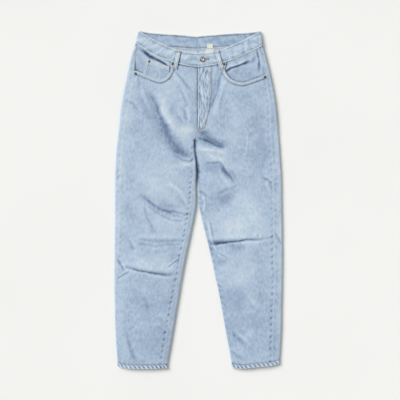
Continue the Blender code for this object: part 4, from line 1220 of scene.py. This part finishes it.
def back_pocket(half):
    """A patch pocket, flat on the underside, with a deep hem along its top."""
    corners = [np.array(c, float) for c in BACK_POCKET]
    down, across = np.meshgrid(np.linspace(0, 1, 73), np.linspace(0, 1, 71), indexing="ij")
    top = corners[0] + (corners[1] - corners[0]) * across[..., None]
    tip = (corners[2][0] - corners[3][0]) / (corners[2][0] - corners[4][0])
    left = corners[4] + (corners[3] - corners[4]) * np.clip(across / (1 - tip), 0, 1)[..., None]
    right = corners[3] + (corners[2] - corners[3]) * np.clip((across - 1 + tip) / tip, 0, 1)[..., None]
    bottom = np.where((across < 1 - tip)[..., None], left, right)
    flat = top + (bottom - top) * down[..., None]
    x, y = half.sign * flat[..., 0], flat[..., 1]
    edge = np.minimum.reduce([
        np.abs(to_line(np.abs(x), y, [a, b])[0]) for a, b in zip(corners, corners[1:] + corners[:1])
    ])
    from_top = np.abs(to_line(np.abs(x), y, [corners[0], corners[1]])[0])
    hem = 1 - ease(from_top, POCKET_HEM - 1, POCKET_HEM + 1)
    dip = 0.25 * bell(edge - 2.4, 0.9) + 0.12 * (1 + waves(x, y, 96, 40)) * ease(edge, 4, 14)
    low = np.stack([x, y, np.clip(dip, 0.02, 0.6)], axis=-1)
    high = np.stack([x, y, 0 * x + POCKET_THICK], axis=-1)
    tone = 0.7 * bell(edge, 1.6) - 0.3 * bell(edge - 3.6, 1.4) + 0.12 * hem + 0.2 * waves(x, y, 94, 45)
    spot = np.stack([x, y + 1800, 0 * x], axis=-1)
    return shell(
        f"back_pocket_{half.name}_cloth", low, high, tone, spot, ("denim", "reverse"),
        "back_pocket_" + half.name
    )


def label(name, x_from, x_to, y_from, y_to, carrier_depth):
    """A blank tag on the inside of the back, its folded ends shown paler, and with a slight curl."""
    down, across = np.meshgrid(np.linspace(0, 1, 15), np.linspace(0, 1, 21), indexing="ij")
    x = x_from + (x_to - x_from) * across
    y = y_from + (y_to - y_from) * down
    s = -LEFT.s_at(x, y)
    depth = carrier_depth + SEAM_GAP
    curl = 0.25 * (2 * across - 1) ** 2 + 0.1 * waves(x, y, 89, 12)
    tone = 0.2 * bell(np.minimum(across, 1 - across), 0.06) - 0.3 * bell(down - 0.1, 0.05)
    return shell(
        name + "_cloth", LEFT.place(s, y, -depth - LABEL_THICK - curl), LEFT.place(s, y, 0 * y - depth), tone,
        spots(LEFT, s, y), ("label",), name
    )


# Threads

THREAD_SIDES = 5
# One stitch of unit length and radius: place along it, radius
STITCH_PROFILE = ((-0.5, 0.3), (-0.36, 0.95), (0.0, 1.08), (0.36, 0.95), (0.5, 0.3))


class Threads:
    """Stitches of one colour, gathered into one mesh."""

    def __init__(self, name, finish, radius):
        self.name, self.finish, self.radius = name, finish, radius
        self.verts, self.faces, self.count = [], [], 0

    def stitches(self, middles, ways, ups, lengths, radius=None):
        """Adds stitches by their middles, directions, up directions and lengths, all arrays."""
        radius = radius or self.radius
        sides = np.cross(ups, ways)
        sides /= np.linalg.norm(sides, axis=1, keepdims=True)
        ups = np.cross(ways, sides)
        rings = len(STITCH_PROFILE)
        body = []
        for place, wide in STITCH_PROFILE:
            for k in range(THREAD_SIDES):
                turn = math.tau * k / THREAD_SIDES
                body.append(
                    middles + ways * (place * lengths)[:, None]
                    + sides * (radius * wide * math.cos(turn)) + ups * (0.8 * radius * wide * math.sin(turn))
                )
        verts = np.stack(body, axis=1)
        n, per = verts.shape[:2]
        quads = []
        for ring in range(rings - 1):
            for k in range(THREAD_SIDES):
                a, b = ring * THREAD_SIDES + k, ring * THREAD_SIDES + (k + 1) % THREAD_SIDES
                quads.append((a, b, b + THREAD_SIDES, a + THREAD_SIDES))
        starts = self.count + per * np.arange(n)
        for quad in quads:
            self.faces.extend((starts[:, None] + np.array(quad)).tolist())
        last = (rings - 1) * THREAD_SIDES
        self.faces.extend((starts[:, None] + np.arange(THREAD_SIDES)[::-1]).tolist())
        self.faces.extend((starts[:, None] + last + np.arange(THREAD_SIDES)).tolist())
        self.verts.append(verts.reshape(-1, 3))
        self.count += n * per

    def run(self, points, ups, step=3.3, share=0.8):
        """A row of stitches along a line of close points."""
        gaps = np.linalg.norm(np.diff(points, axis=0), axis=1)
        run = np.append(0, np.cumsum(gaps))
        count = int(run[-1] / step)
        if count < 1:
            return
        ends = np.linspace(0, run[-1], count + 1)
        lift = [
            np.stack([np.interp(ends + d, run, points[:, k]) for k in range(3)], 1)
            for d in (0, step * share)
        ]
        first, second = lift[0][:-1], lift[1][:-1]
        up = np.stack([np.interp(ends[:-1], run, ups[:, k]) for k in range(3)], 1)
        ways = second - first
        lengths = np.linalg.norm(ways, axis=1)
        good = lengths > 0.3
        ways = ways[good] / lengths[good, None]
        self.stitches((first + second)[good] / 2, ways, up[good], lengths[good] + self.radius)

    def tack(self, points, ups, wide, step=0.9):
        """A bartack: short threads across a line, close together."""
        gaps = np.linalg.norm(np.diff(points, axis=0), axis=1)
        run = np.append(0, np.cumsum(gaps))
        count = max(int(run[-1] / step), 2)
        ends = np.linspace(0, run[-1], count)
        middle = np.stack([np.interp(ends, run, points[:, k]) for k in range(3)], 1)
        up = np.stack([np.interp(ends, run, ups[:, k]) for k in range(3)], 1)
        along = np.gradient(middle, axis=0)
        along /= np.linalg.norm(along, axis=1, keepdims=True)
        ways = np.cross(up, along)
        ways += along * 0.25 * (-1) ** np.arange(count)[:, None]
        ways /= np.linalg.norm(ways, axis=1, keepdims=True)
        self.stitches(middle, ways, up, np.full(count, float(wide)), self.radius * 1.1)

    def build(self):
        return finished(self.name, np.concatenate(self.verts), self.faces, (self.finish,), None)


def on_cloth(half, s, y, out_of, lift):
    """Points over the cloth and their up directions, along s and y."""
    s, y = np.broadcast_arrays(np.asarray(s, float), np.asarray(y, float))
    out = out_of(half, s, y)
    points = half.place(s, y, out + lift)
    return points, half.place(s, y, out + lift + 1) - points


def dense(points, step=1.0):
    """A line of close points along a table of (x, y)."""
    points = np.array(points, float)
    gaps = np.hypot(*np.diff(points, axis=0).T)
    run = np.append(0, np.cumsum(gaps))
    t = np.arange(0, run[-1] + step / 2, step)
    return np.interp(t, run, points[:, 0]), np.interp(t, run, points[:, 1])


def offset_line(x, y, by):
    """The line moved sideways, to its left."""
    tx, ty = np.gradient(x), np.gradient(y)
    size = np.hypot(tx, ty)
    return x - by * ty / size, y + by * tx / size


THREAD_LIFT = 0.25


def sew(threads, half, x, y, side=1, out_of=panel_out, step=3.3):
    """A row of stitches along x and y on one half's top or underside."""
    s = side * half.s_at(half.sign * x, y)
    threads.run(*on_cloth(half, s, y, out_of, THREAD_LIFT), step=step)


def long_seams(pale):
    for half in HALVES:
        y = np.arange(-505.0, CROTCH_Y - 4, 1.0)
        end = half.reach(y) - half.inseam(y)
        if half is RIGHT:
            pale.run(*on_cloth(half, end + 1.6 - 2 * half.reach(y), y, panel_out, THREAD_LIFT))
        else:
            for gap in (1.8, 7.4):
                pale.run(*on_cloth(half, -half.reach(y) + gap, y, panel_out, THREAD_LIFT))
        y = np.arange(392.0, 474.0, 1.0) if half is RIGHT else np.arange(380.0, 470.0, 1.0)
        pale.run(*on_cloth(half, half.outseam(y) - 1.6, y, panel_out, THREAD_LIFT))
        for gap in (2.0, 7.6):
            y = np.arange(CROTCH_Y + 20, YOKE_AT_MIDDLE - 2, 1.0)
            if half is LEFT:
                pale.run(*on_cloth(half, -half.reach(y) + gap, y, panel_out, THREAD_LIFT))


def hems(pale):
    for half in HALVES:
        reach = float(half.reach(np.array(-505.0)))
        s = np.arange(-reach, reach, 1.0)
        y = half.hem(np.clip(np.abs(s) / reach, 0, 1)) + HEM_HEIGHT - 0.6
        pale.run(*on_cloth(half, s, y, panel_out, THREAD_LIFT))


# The waistband's stitch lines as shares of its height, and the middle seam's distance from the middle
WAIST_LINES = (0.1, 0.9)
MIDDLE_SEAM_IN = 2.0


def waist_lines(pale, inner):
    for half in HALVES:
        for v in WAIST_LINES:
            s, y, _ = band_places(half, 760, 1)
            s, y = s[0], band_edge(half, s[0], y[0], 0) * (1 - v) + band_edge(half, s[0], y[0], 1) * v
            cover = s < half.reach(y) - (15 if half is RIGHT else 0)
            pale.run(*on_cloth(half, s[cover], y[cover], band_out, THREAD_LIFT))
        for v in WAIST_LINES:
            s = np.arange(-8.0, 0.5 - float(half.reach(np.array(466.0 + 40 * v))), -1.0)
            y = band_edge(half, s, 480.0, 0) * (1 - v) + band_edge(half, s, 480.0, 1) * v
            for _ in range(3):
                y = band_edge(half, s, y, 0) * (1 - v) + band_edge(half, s, y, 1) * v
            inside_face = half.place(s, y, band_out(half, s, y) - BAND_THICK - THREAD_LIFT)
            ups = half.place(s, y, band_out(half, s, y) - BAND_THICK - 1) - inside_face
            inner.run(inside_face, ups)


def mouth_seams(pale):
    for half in HALVES:
        xs, ys = mouth_line(half, 24)
        for gap in (1.8, 8.0):
            x, y = offset_line(xs, ys, gap * half.sign * -1)
            y = np.minimum(y, band_edge(half, half.s_at(half.sign * x, y), y, 0) - 1.5)
            sew(pale, half, x, y, step=2.9)


def fly_seams(pale, orange):
    x, y = dense(FLY_STITCH)
    for gap in (0.0, -5.4):
        ox, oy = offset_line(x, y, gap)
        shown = (ox > -1) & (oy > 214)
        sew(pale, LEFT, ox[shown], oy[shown])
    y = np.arange(206.0, 404.0, 1.0)
    sew(pale, LEFT, 0 * y + 1.4, y)
    y = np.arange(CROTCH_Y + 20, FLY_END - 2, 1.0)
    sew(pale, LEFT, 0 * y + 0.6, y)
    for spots_at in (((-2.4, 224), (-2.0, 208)), ((23.4, 241), (26.4, 230))):
        x, y = dense(spots_at, 0.5)
        half = LEFT
        orange.tack(*on_cloth(half, half.s_at(x, y), y, panel_out, 0.6), 2.6)


def yoke_seams(pale):
    for half in HALVES:
        reach = float(half.reach(np.array(420.0)))
        s = np.arange(float(half.outseam(np.array(440.0))) - 1, -reach + 6, -1.0)
        for gap in (-2.0, -7.6):
            y = yoke_seam(half, s, 430.0) + gap
            pale.run(*on_cloth(half, s, y, panel_out, THREAD_LIFT))


def pocket_seams(pale, orange):
    for half in HALVES:
        corners = [(half.sign * u, y) for u, y in BACK_POCKET]
        outline = corners[1:] + corners[:1]
        centre = np.mean(corners, axis=0)
        for inset in (0.035, 0.1):
            points = [np.array(c) + (centre - np.array(c)) * inset for c in outline]
            x, y = dense(points)
            line = np.stack([x, y, 0 * x - 0.05], axis=1)
            pale.run(line, np.tile((0.0, 0.0, -1.0), (len(x), 1)))
        for drop in (2.5, POCKET_HEM - 2):
            x, y = dense([(corners[0][0], corners[0][1] - drop), (corners[1][0], corners[1][1] - drop)])
            shown = (np.abs(x) > 39) & (np.abs(x) < 172)
            line = np.stack([x, y, 0 * x - 0.05], axis=1)[shown]
            pale.run(line, np.tile((0.0, 0.0, -1.0), (len(line), 1)))
        for corner in corners[:2]:
            way = -half.sign if corner is corners[1] else half.sign
            bar_x = corner[0] + way * 2.5
            x, y = dense([(bar_x, corner[1] - 3), (bar_x, corner[1] - 14)], 0.5)
            orange.tack(np.stack([x, y, 0 * x - 0.05], axis=1), np.tile((0.0, 0.0, -1.0), (len(x), 1)), 3.0)


def coin_seams(pale):
    def coin(half, s, y):
        return coin_out(s, y) + 0.5

    t = np.linspace(0.01, 0.99, 140)
    for b in (0.03, 0.155):
        s, y = coin_place(t, b + 0 * t)
        pale.run(*on_cloth(RIGHT, s, y, coin, 0.3), step=2.9)
    for a in (0.025, 0.11):
        s, y = coin_place(a + 0 * t, t)
        pale.run(*on_cloth(RIGHT, s, y, coin, 0.3), step=2.9)


def loop_seams(pale, orange):
    for loop in LOOPS:
        side = loop[-1]
        v = np.linspace(0.03, 0.97, 90)

        def face(half, s, y, v=v, side=side):
            return loop_out(half, s, y, v, side) + LOOP_THICK + (0.25 if side > 0 else 0)

        for across in (-0.3, 0.3):
            half, s, y = loop_place(loop, across + 0 * v, v)
            pale.run(*on_cloth(half, s, y, face, 0.15), step=2.9)
        for end in (0.045, 0.945):
            across = np.linspace(-0.44, 0.44, 24)

            def end_face(half, s, y, end=end, side=side):
                return loop_out(half, s, y, end + 0 * y, side) + LOOP_THICK + (0.25 if side > 0 else 0)

            half, s, y = loop_place(loop, across, end + 0 * across)
            orange.tack(*on_cloth(half, s, y, end_face, 0.25), 3.4)


def yoke_tacks(pale):
    """The thick patch where each yoke's seam runs into the outseam."""
    for half in HALVES:
        y = np.linspace(YOKE_AT_OUTSEAM - 5, YOKE_AT_OUTSEAM + 5, 12)
        s = half.outseam(y) - 4.5
        pale.tack(*on_cloth(half, s, y, panel_out, 0.3), 7.0, step=1.6)


def buttonhole(brown):
    """A worked hole: threads side by side round a slot with a round end."""
    x_from, x_to, y_mid = BUTTONHOLE
    turns = np.linspace(0, math.tau, 80, endpoint=False)
    half_long = (x_to - x_from) / 2
    x = x_from + half_long + half_long * np.cos(turns)
    y = y_mid + 2.1 * np.sign(np.sin(turns)) * np.abs(np.sin(turns)) ** 0.5
    s = LEFT.s_at(x, y)
    brown.tack(*on_cloth(LEFT, s, y, band_out, 0.35), 2.4, step=0.75)
    x, y = dense([(x_to, y_mid - 2.4), (x_to, y_mid + 2.4)], 0.4)
    brown.tack(*on_cloth(LEFT, LEFT.s_at(x, y), y, band_out, 0.4), 2.6)


def zip_teeth(teeth):
    """The closed chain of the zip, a row of bars across the middle of its tape."""
    y = np.arange(FLY_END + 6, FLY_TOP - 6, 1.0)

    def tape(half, s, y):
        return -2.5 + 0 * y

    teeth.tack(*on_cloth(LEFT, LEFT.s_at(4.0 + 0 * y, y), y, tape, 0.35), 4.4, step=2.0)


def inside_marks(orange, inner):
    """What shows inside the open back: the ends of the back loops' tacks, and the middle seam."""
    for x_mid, y_mid in ((-72.0, 508.0), (-6.0, 501.5), (66.0, 508.5)):
        half = half_of(x_mid)
        x, y = dense([(x_mid - 5.5, y_mid), (x_mid + 5.5, y_mid)], 0.5)
        s = -half.s_at(half.sign * x, y)
        points = half.place(s, y, band_out(half, s, y) - BAND_THICK - 0.3)
        orange.tack(points, half.place(s, y, band_out(half, s, y) - BAND_THICK - 1.3) - points, 2.6)
    y = np.arange(YOKE_AT_MIDDLE + 6, 463.0, 1.0)
    s = -LEFT.reach(y) + MIDDLE_SEAM_IN
    points = LEFT.place(s, y, 0 * y - CLOTH - THREAD_LIFT)
    inner.run(points, LEFT.place(s, y, 0 * y - CLOTH - 1.25) - points)


# Metal


def turned(name, profile, finish, node, slot, x, y, stands_out, radius, steps=48):
    """A round piece about its own axis, upright on the cloth at x and y, in its node's place."""
    half = half_of(x)
    turns = np.linspace(0, math.tau, 13)
    xs = x + radius * np.append(0, np.cos(turns))
    ys = y + radius * np.append(0, np.sin(turns))
    places = half.place(half.s_at(half.sign * xs, ys), ys, stands_out(xs, ys))
    above = half.place(half.s_at(half.sign * x, y), y, stands_out(x, y) + 1)
    foot = Vector(places[0])
    up = (Vector(above) - foot).normalized()
    rise = max((Vector(spot) - foot).dot(up) for spot in places)
    origin = foot + up * (rise + SEAM_GAP)
    seat = Matrix.Translation(origin) @ up.to_track_quat("Z", "Y").to_matrix().to_4x4()
    verts, faces = [], []
    for r, z, *waved in profile:
        for k in range(steps):
            turn = math.tau * k / steps
            wave = waved[0] * math.cos(waved[1] * turn) if waved else 0.0
            verts.append(seat @ Vector((r * math.cos(turn), r * math.sin(turn), z + wave)))
    for ring in range(len(profile) - 1):
        for k in range(steps):
            a, b = ring * steps + k, ring * steps + (k + 1) % steps
            faces.append((a, a + steps, b + steps, b))
    faces.append(tuple(range(steps)))
    last = (len(profile) - 1) * steps
    faces.append(tuple(last + k for k in reversed(range(steps))))
    return finished(name, np.array(verts), faces, (finish,), node)


def coin_stands_out(x, y):
    """How far the coin pocket's hem is over the panel's surface."""
    x, y = np.broadcast_arrays(x, y)
    return coin_out(RIGHT.s_at(-x, y), y) + 0.7


def panel_stands_out(x, y):
    x, y = np.broadcast_arrays(x, y)
    half = half_of(float(np.mean(x)))
    return panel_out(half, half.s_at(half.sign * x, y), y)


def band_stands_out(x, y):
    x, y = np.broadcast_arrays(x, y)
    return band_out(LEFT, LEFT.s_at(x, y), y)


def rivets():
    r, h = RIVET_RADIUS, RIVET_HEIGHT
    profile = ((0.02, 1.05 * h), (0.2 * r, 1.04 * h), (0.36 * r, h), (0.44 * r, 0.86 * h),
               (0.52 * r, 0.66 * h),
               (0.64 * r, 0.66 * h), (0.76 * r, 0.72 * h), (0.88 * r, 0.6 * h), (0.96 * r, 0.4 * h),
               (r, 0.18 * h),
               (r, 0), (0.02, 0))
    for k, (x, y, carrier) in enumerate(RIVETS, 1):
        out = coin_stands_out if carrier == "coin pocket" else panel_stands_out
        turned(f"rivet_{k}_cap", profile, "copper", f"rivet_{k}", "copper", x, y, out, r)


def button():
    r, h = BUTTON_RADIUS, BUTTON_HEIGHT
    profile = ((0.02, 0.86 * h), (0.1 * r, 0.86 * h), (0.14 * r, 0.78 * h), (0.34 * r, 0.72 * h),
               (0.5 * r, 0.72 * h),
               (0.57 * r, 0.8 * h), (0.62 * r, 0.94 * h), (0.7 * r, h), (0.8 * r, 1.01 * h),
               (0.9 * r, 0.95 * h),
               (0.97 * r, 0.8 * h), (r, 0.62 * h), (0.98 * r, 0.48 * h), (0.9 * r, 0.4 * h),
               (0.55 * r, 0.3 * h),
               (0.5 * r, 0.1), (0.5 * r, 0), (0.02, 0))
    return turned("button_cap", profile, "brass", "button", "brass", BUTTON_X, BUTTON_Y,
                  band_stands_out, r, 64)


# Finishes


def linear(*rgb):
    """A colour given as it looks on a screen, 0 to 255, as the shader wants it."""
    return tuple(((c / 255 + 0.055) / 1.055) ** 2.4 for c in rgb) + (1.0,)


class Nodes:
    """A material's nodes, added and linked in one call each."""

    def __init__(self, name):
        self.material = bpy.data.materials.new(name)
        self.material.use_nodes = True
        self.tree = self.material.node_tree
        self.shader = self.tree.nodes["Principled BSDF"]

    def add(self, kind, inputs=None, **settings):
        node = self.tree.nodes.new("ShaderNode" + kind)
        for key, value in settings.items():
            setattr(node, key, value)
        for key, value in (inputs or {}).items():
            self.feed(node.inputs[key], value)
        return node

    def feed(self, socket, value):
        if hasattr(value, "is_output"):
            self.tree.links.new(value, socket)
        else:
            socket.default_value = value

    def math(self, operation, a, b=0.0, clamp=False):
        node = self.add("Math", {0: a, 1: b}, operation=operation, use_clamp=clamp)
        return node.outputs[0]

    def noise(self, vector, scale, detail=2.0, rough=0.5, stretch=(1, 1, 1)):
        moved = self.add("VectorMath", {0: vector, 1: stretch}, operation="MULTIPLY").outputs[0]
        values = {"Vector": moved, "Scale": scale, "Detail": detail, "Roughness": rough}
        return self.add("TexNoise", values).outputs[0]

    def ramp(self, value, stops):
        node = self.add("ValToRGB", {0: value})
        node.color_ramp.interpolation = "EASE"
        elements = node.color_ramp.elements
        while len(elements) < len(stops):
            elements.new(0.5)
        for element, (place, colour) in zip(elements, stops):
            element.position = place
            element.color = colour
        return node.outputs[0]


DENIM_STOPS = (
    (0.0, linear(56, 70, 94)), (0.24, linear(110, 129, 155)), (0.44, linear(153, 172, 195)),
    (0.6, linear(177, 195, 213)), (0.78, linear(200, 213, 223)), (1.0, linear(228, 233, 234)),
)
REVERSE_STOPS = (
    (0.0, linear(120, 138, 162)), (0.4, linear(170, 186, 204)), (0.7, linear(199, 209, 219)),
    (1.0, linear(225, 229, 231)),
)
INSIDE_STOPS = (
    (0.0, linear(96, 118, 148)), (0.4, linear(138, 161, 188)), (0.7, linear(168, 187, 207)),
    (1.0, linear(208, 218, 226)),
)
WEAVE_PITCH = 0.0013


def cloth_finish(name, stops, shift=0.545, mottle=0.26):
    """Washed twill: marbled by the wash, streaked along the warp, with its diagonal ribs as bump."""
    n = Nodes(name)
    spot = n.add("Attribute", attribute_name="spot").outputs["Vector"]
    tone = n.add("Attribute", attribute_name="tone").outputs["Fac"]
    broad = n.noise(spot, 22, 4, 0.55, (1, 0.8, 1))
    marble = n.noise(spot, 110, 5, 0.68, (1.3, 0.7, 1))
    streak = n.noise(spot, 900, 2, 0.5, (1.0, 0.12, 1))
    grain = n.noise(spot, 1500, 1, 0.5, (1, 0.7, 1))
    total = n.math("MULTIPLY_ADD", tone, 0.30)
    n.tree.nodes[-1].inputs[2].default_value = shift
    for field, amount in ((broad, mottle * 1.1), (marble, mottle * 1.9), (streak, 0.24), (grain, 0.16)):
        level = n.math("SUBTRACT", field, 0.5)
        total = n.math("ADD", total, n.math("MULTIPLY", level, amount))
    total = n.math("MINIMUM", n.math("MAXIMUM", total, 0.0), 1.0)
    n.feed(n.shader.inputs["Base Color"], n.ramp(total, stops))
    n.shader.inputs["Roughness"].default_value = 0.88
    n.shader.inputs["Specular IOR Level"].default_value = 0.22
    n.shader.inputs["Sheen Weight"].default_value = 0.12
    n.shader.inputs["Sheen Roughness"].default_value = 0.5
    diagonal = n.add("VectorMath", {0: spot, 1: (1.0, 0.62, 0.0)}, operation="DOT_PRODUCT").outputs["Value"]
    rib = n.math("SINE", n.math("MULTIPLY", diagonal, math.tau / WEAVE_PITCH))
    weave = n.math("ADD", n.math("MULTIPLY", rib, 0.5), n.math("MULTIPLY", streak, 1.4))
    weave = n.math("ADD", weave, n.math("MULTIPLY", marble, 3.0))
    bump = n.add("Bump", {"Height": weave, "Strength": 0.35, "Distance": 0.00022})
    n.feed(n.shader.inputs["Normal"], bump.outputs[0])
    return n.material


def woven_finish(name, low, high, scale=900.0, rough=0.85):
    """Plain woven tape or thread: two near colours, with fine twists as bump."""
    n = Nodes(name)
    place = n.add("TexCoord").outputs["Object"]
    patch = n.noise(place, scale * 0.12, 3)
    twist = n.noise(place, scale, 2, 0.5, (1, 0.4, 1))
    mix = n.math("ADD", n.math("MULTIPLY", patch, 0.6), n.math("MULTIPLY", twist, 0.4))
    n.feed(n.shader.inputs["Base Color"], n.ramp(mix, ((0.3, low), (0.7, high))))
    n.shader.inputs["Roughness"].default_value = rough
    n.shader.inputs["Specular IOR Level"].default_value = 0.25
    bump = n.add("Bump", {"Height": twist, "Strength": 0.4, "Distance": 0.0002})
    n.feed(n.shader.inputs["Normal"], bump.outputs[0])
    return n.material


def metal_finish(name, dark, light, rough):
    """Worn metal: stains in the low places, and fine scratches in its gloss."""
    n = Nodes(name)
    place = n.add("TexCoord").outputs["Object"]
    stain = n.noise(place, 420, 4, 0.65)
    scratch = n.noise(place, 1800, 2, 0.5, (1, 0.2, 1))
    n.feed(n.shader.inputs["Base Color"], n.ramp(stain, ((0.32, dark), (0.68, light))))
    gloss = n.math("ADD", n.math("MULTIPLY", scratch, 0.25), rough)
    n.feed(n.shader.inputs["Roughness"], gloss)
    n.shader.inputs["Metallic"].default_value = 1.0
    bump = n.add("Bump", {"Height": stain, "Strength": 0.25, "Distance": 0.0002})
    n.feed(n.shader.inputs["Normal"], bump.outputs[0])
    return n.material


def floor_finish():
    n = Nodes("floor")
    place = n.add("TexCoord").outputs["Object"]
    tint = n.noise(place, 2.0, 2)
    whites = ((0.3, linear(238, 238, 235)), (0.7, linear(240, 240, 237)))
    n.feed(n.shader.inputs["Base Color"], n.ramp(tint, whites))
    n.shader.inputs["Roughness"].default_value = 0.95
    n.shader.inputs["Specular IOR Level"].default_value = 0.0
    return n.material


materials = {
    "denim": cloth_finish("denim", DENIM_STOPS),
    "reverse": cloth_finish("denim_reverse", REVERSE_STOPS, 0.62, 0.22),
    "band_inside": cloth_finish("band_inside", INSIDE_STOPS, 0.52, 0.26),
    "label": woven_finish("label", linear(206, 206, 200), linear(228, 228, 222), 700),
    "tape": woven_finish("zip_tape", linear(150, 156, 158), linear(176, 180, 180), 700),
    "pale_thread": woven_finish("pale_thread", linear(176, 172, 160), linear(208, 204, 192)),
    "orange_thread": woven_finish("orange_thread", linear(178, 136, 88), linear(212, 174, 122)),
    "hem_thread": woven_finish("hem_thread", linear(150, 132, 108), linear(190, 172, 146)),
    "brown_thread": woven_finish("brown_thread", linear(122, 92, 56), linear(164, 128, 82)),
    "copper": metal_finish("copper", linear(58, 46, 38), linear(138, 116, 98), 0.36),
    "brass": metal_finish("brass", linear(104, 98, 86), linear(200, 194, 180), 0.26),
    "floor": floor_finish(),
}


# The garment


def build():
    pieces = {}
    for half in HALVES:
        pieces["front_" + half.name] = front(half)
        pieces["back_" + half.name] = back(half)
        pieces["yoke_" + half.name] = yoke(half)
        pieces["facing_" + half.name] = facing(half)
        pieces["back_pocket_" + half.name] = back_pocket(half)
    pieces["waistband"] = waistband()
    pieces["coin_pocket"] = coin_pocket()
    for loop in LOOPS:
        pieces[loop[0]] = belt_loop(loop)
    pieces["zip"] = fly_piece("zip", -10.0, 18.0, 2.5, 1.2, ("tape",))
    pieces["fly_shield"] = fly_piece("fly_shield", -8.0, 38.0, 4.0, CLOTH, ("denim", "reverse"))
    for tag in LABELS:
        pieces[tag[0]] = label(*tag)
    rivets()
    button()
    pale = Threads("stitches_pale", "pale_thread", 0.42)
    long_seams(pale)
    hem_thread = Threads("stitches_hems", "hem_thread", 0.5)
    hems(hem_thread)
    mouth_seams(pale)
    coin_seams(pale)
    yoke_tacks(pale)
    upper = Threads("stitches_waist", "pale_thread", 0.42)
    inner = Threads("stitches_inside", "brown_thread", 0.62)
    orange = Threads("bartacks", "orange_thread", 0.42)
    waist_lines(upper, inner)
    fly_seams(upper, orange)
    yoke_seams(upper)
    pocket_seams(upper, orange)
    loop_seams(upper, orange)
    inside_marks(orange, inner)
    brown = Threads("buttonhole", "brown_thread", 0.36)
    buttonhole(brown)
    teeth = Threads("zip_teeth", "brass", 0.5)
    zip_teeth(teeth)
    for threads in (pale, hem_thread, upper, inner, orange, brown, teeth):
        threads.build()
    return pieces


def floor():
    mesh = bpy.data.meshes.new("floor")
    size = 6.0
    corners = [(-size, -size, 0), (size, -size, 0), (size, size, 0), (-size, size, 0)]
    mesh.from_pydata(corners, [], [(0, 1, 2, 3)])
    mesh.materials.append(materials["floor"])
    made = bpy.data.objects.new("floor", mesh)
    made.location.z = -0.0006
    bpy.context.scene.collection.objects.link(made)


def light(name, kind, energy, direction, **settings):
    data = bpy.data.lights.new(name, kind)
    data.energy = energy
    for key, value in settings.items():
        setattr(data, key, value)
    lamp = bpy.data.objects.new(name, data)
    lamp.rotation_euler = Vector(direction).to_track_quat("Z", "Y").to_euler()
    lamp.location = Vector(direction) * 3
    bpy.context.scene.collection.objects.link(lamp)


def studio():
    light("key", "SUN", 2.95, (-0.70, 0.54, 0.78), angle=math.radians(36))
    light("fill", "SUN", 0.40, (0.75, -0.50, 0.80), angle=math.radians(80))
    world = bpy.data.worlds.new("studio")
    world.use_nodes = True
    world.node_tree.nodes["Background"].inputs["Color"].default_value = (0.98, 0.99, 1.0, 1.0)
    world.node_tree.nodes["Background"].inputs["Strength"].default_value = 0.34
    bpy.context.scene.world = world
    bpy.context.scene.view_settings.view_transform = "Standard"


PHOTO_MM = 1240.0
LENS, SENSOR = 85.0, 36.0
CAMERA_X, CAMERA_Y = 4.8, -1.4


def camera():
    data = bpy.data.cameras.new("camera")
    data.lens, data.sensor_width = LENS, SENSOR
    data.clip_start, data.clip_end = 0.1, 50
    made = bpy.data.objects.new("camera", data)
    made.location = (CAMERA_X * MM, CAMERA_Y * MM, PHOTO_MM * MM * LENS / SENSOR)
    bpy.context.scene.collection.objects.link(made)
    bpy.context.scene.camera = made


pieces = build()
floor()
studio()
camera()
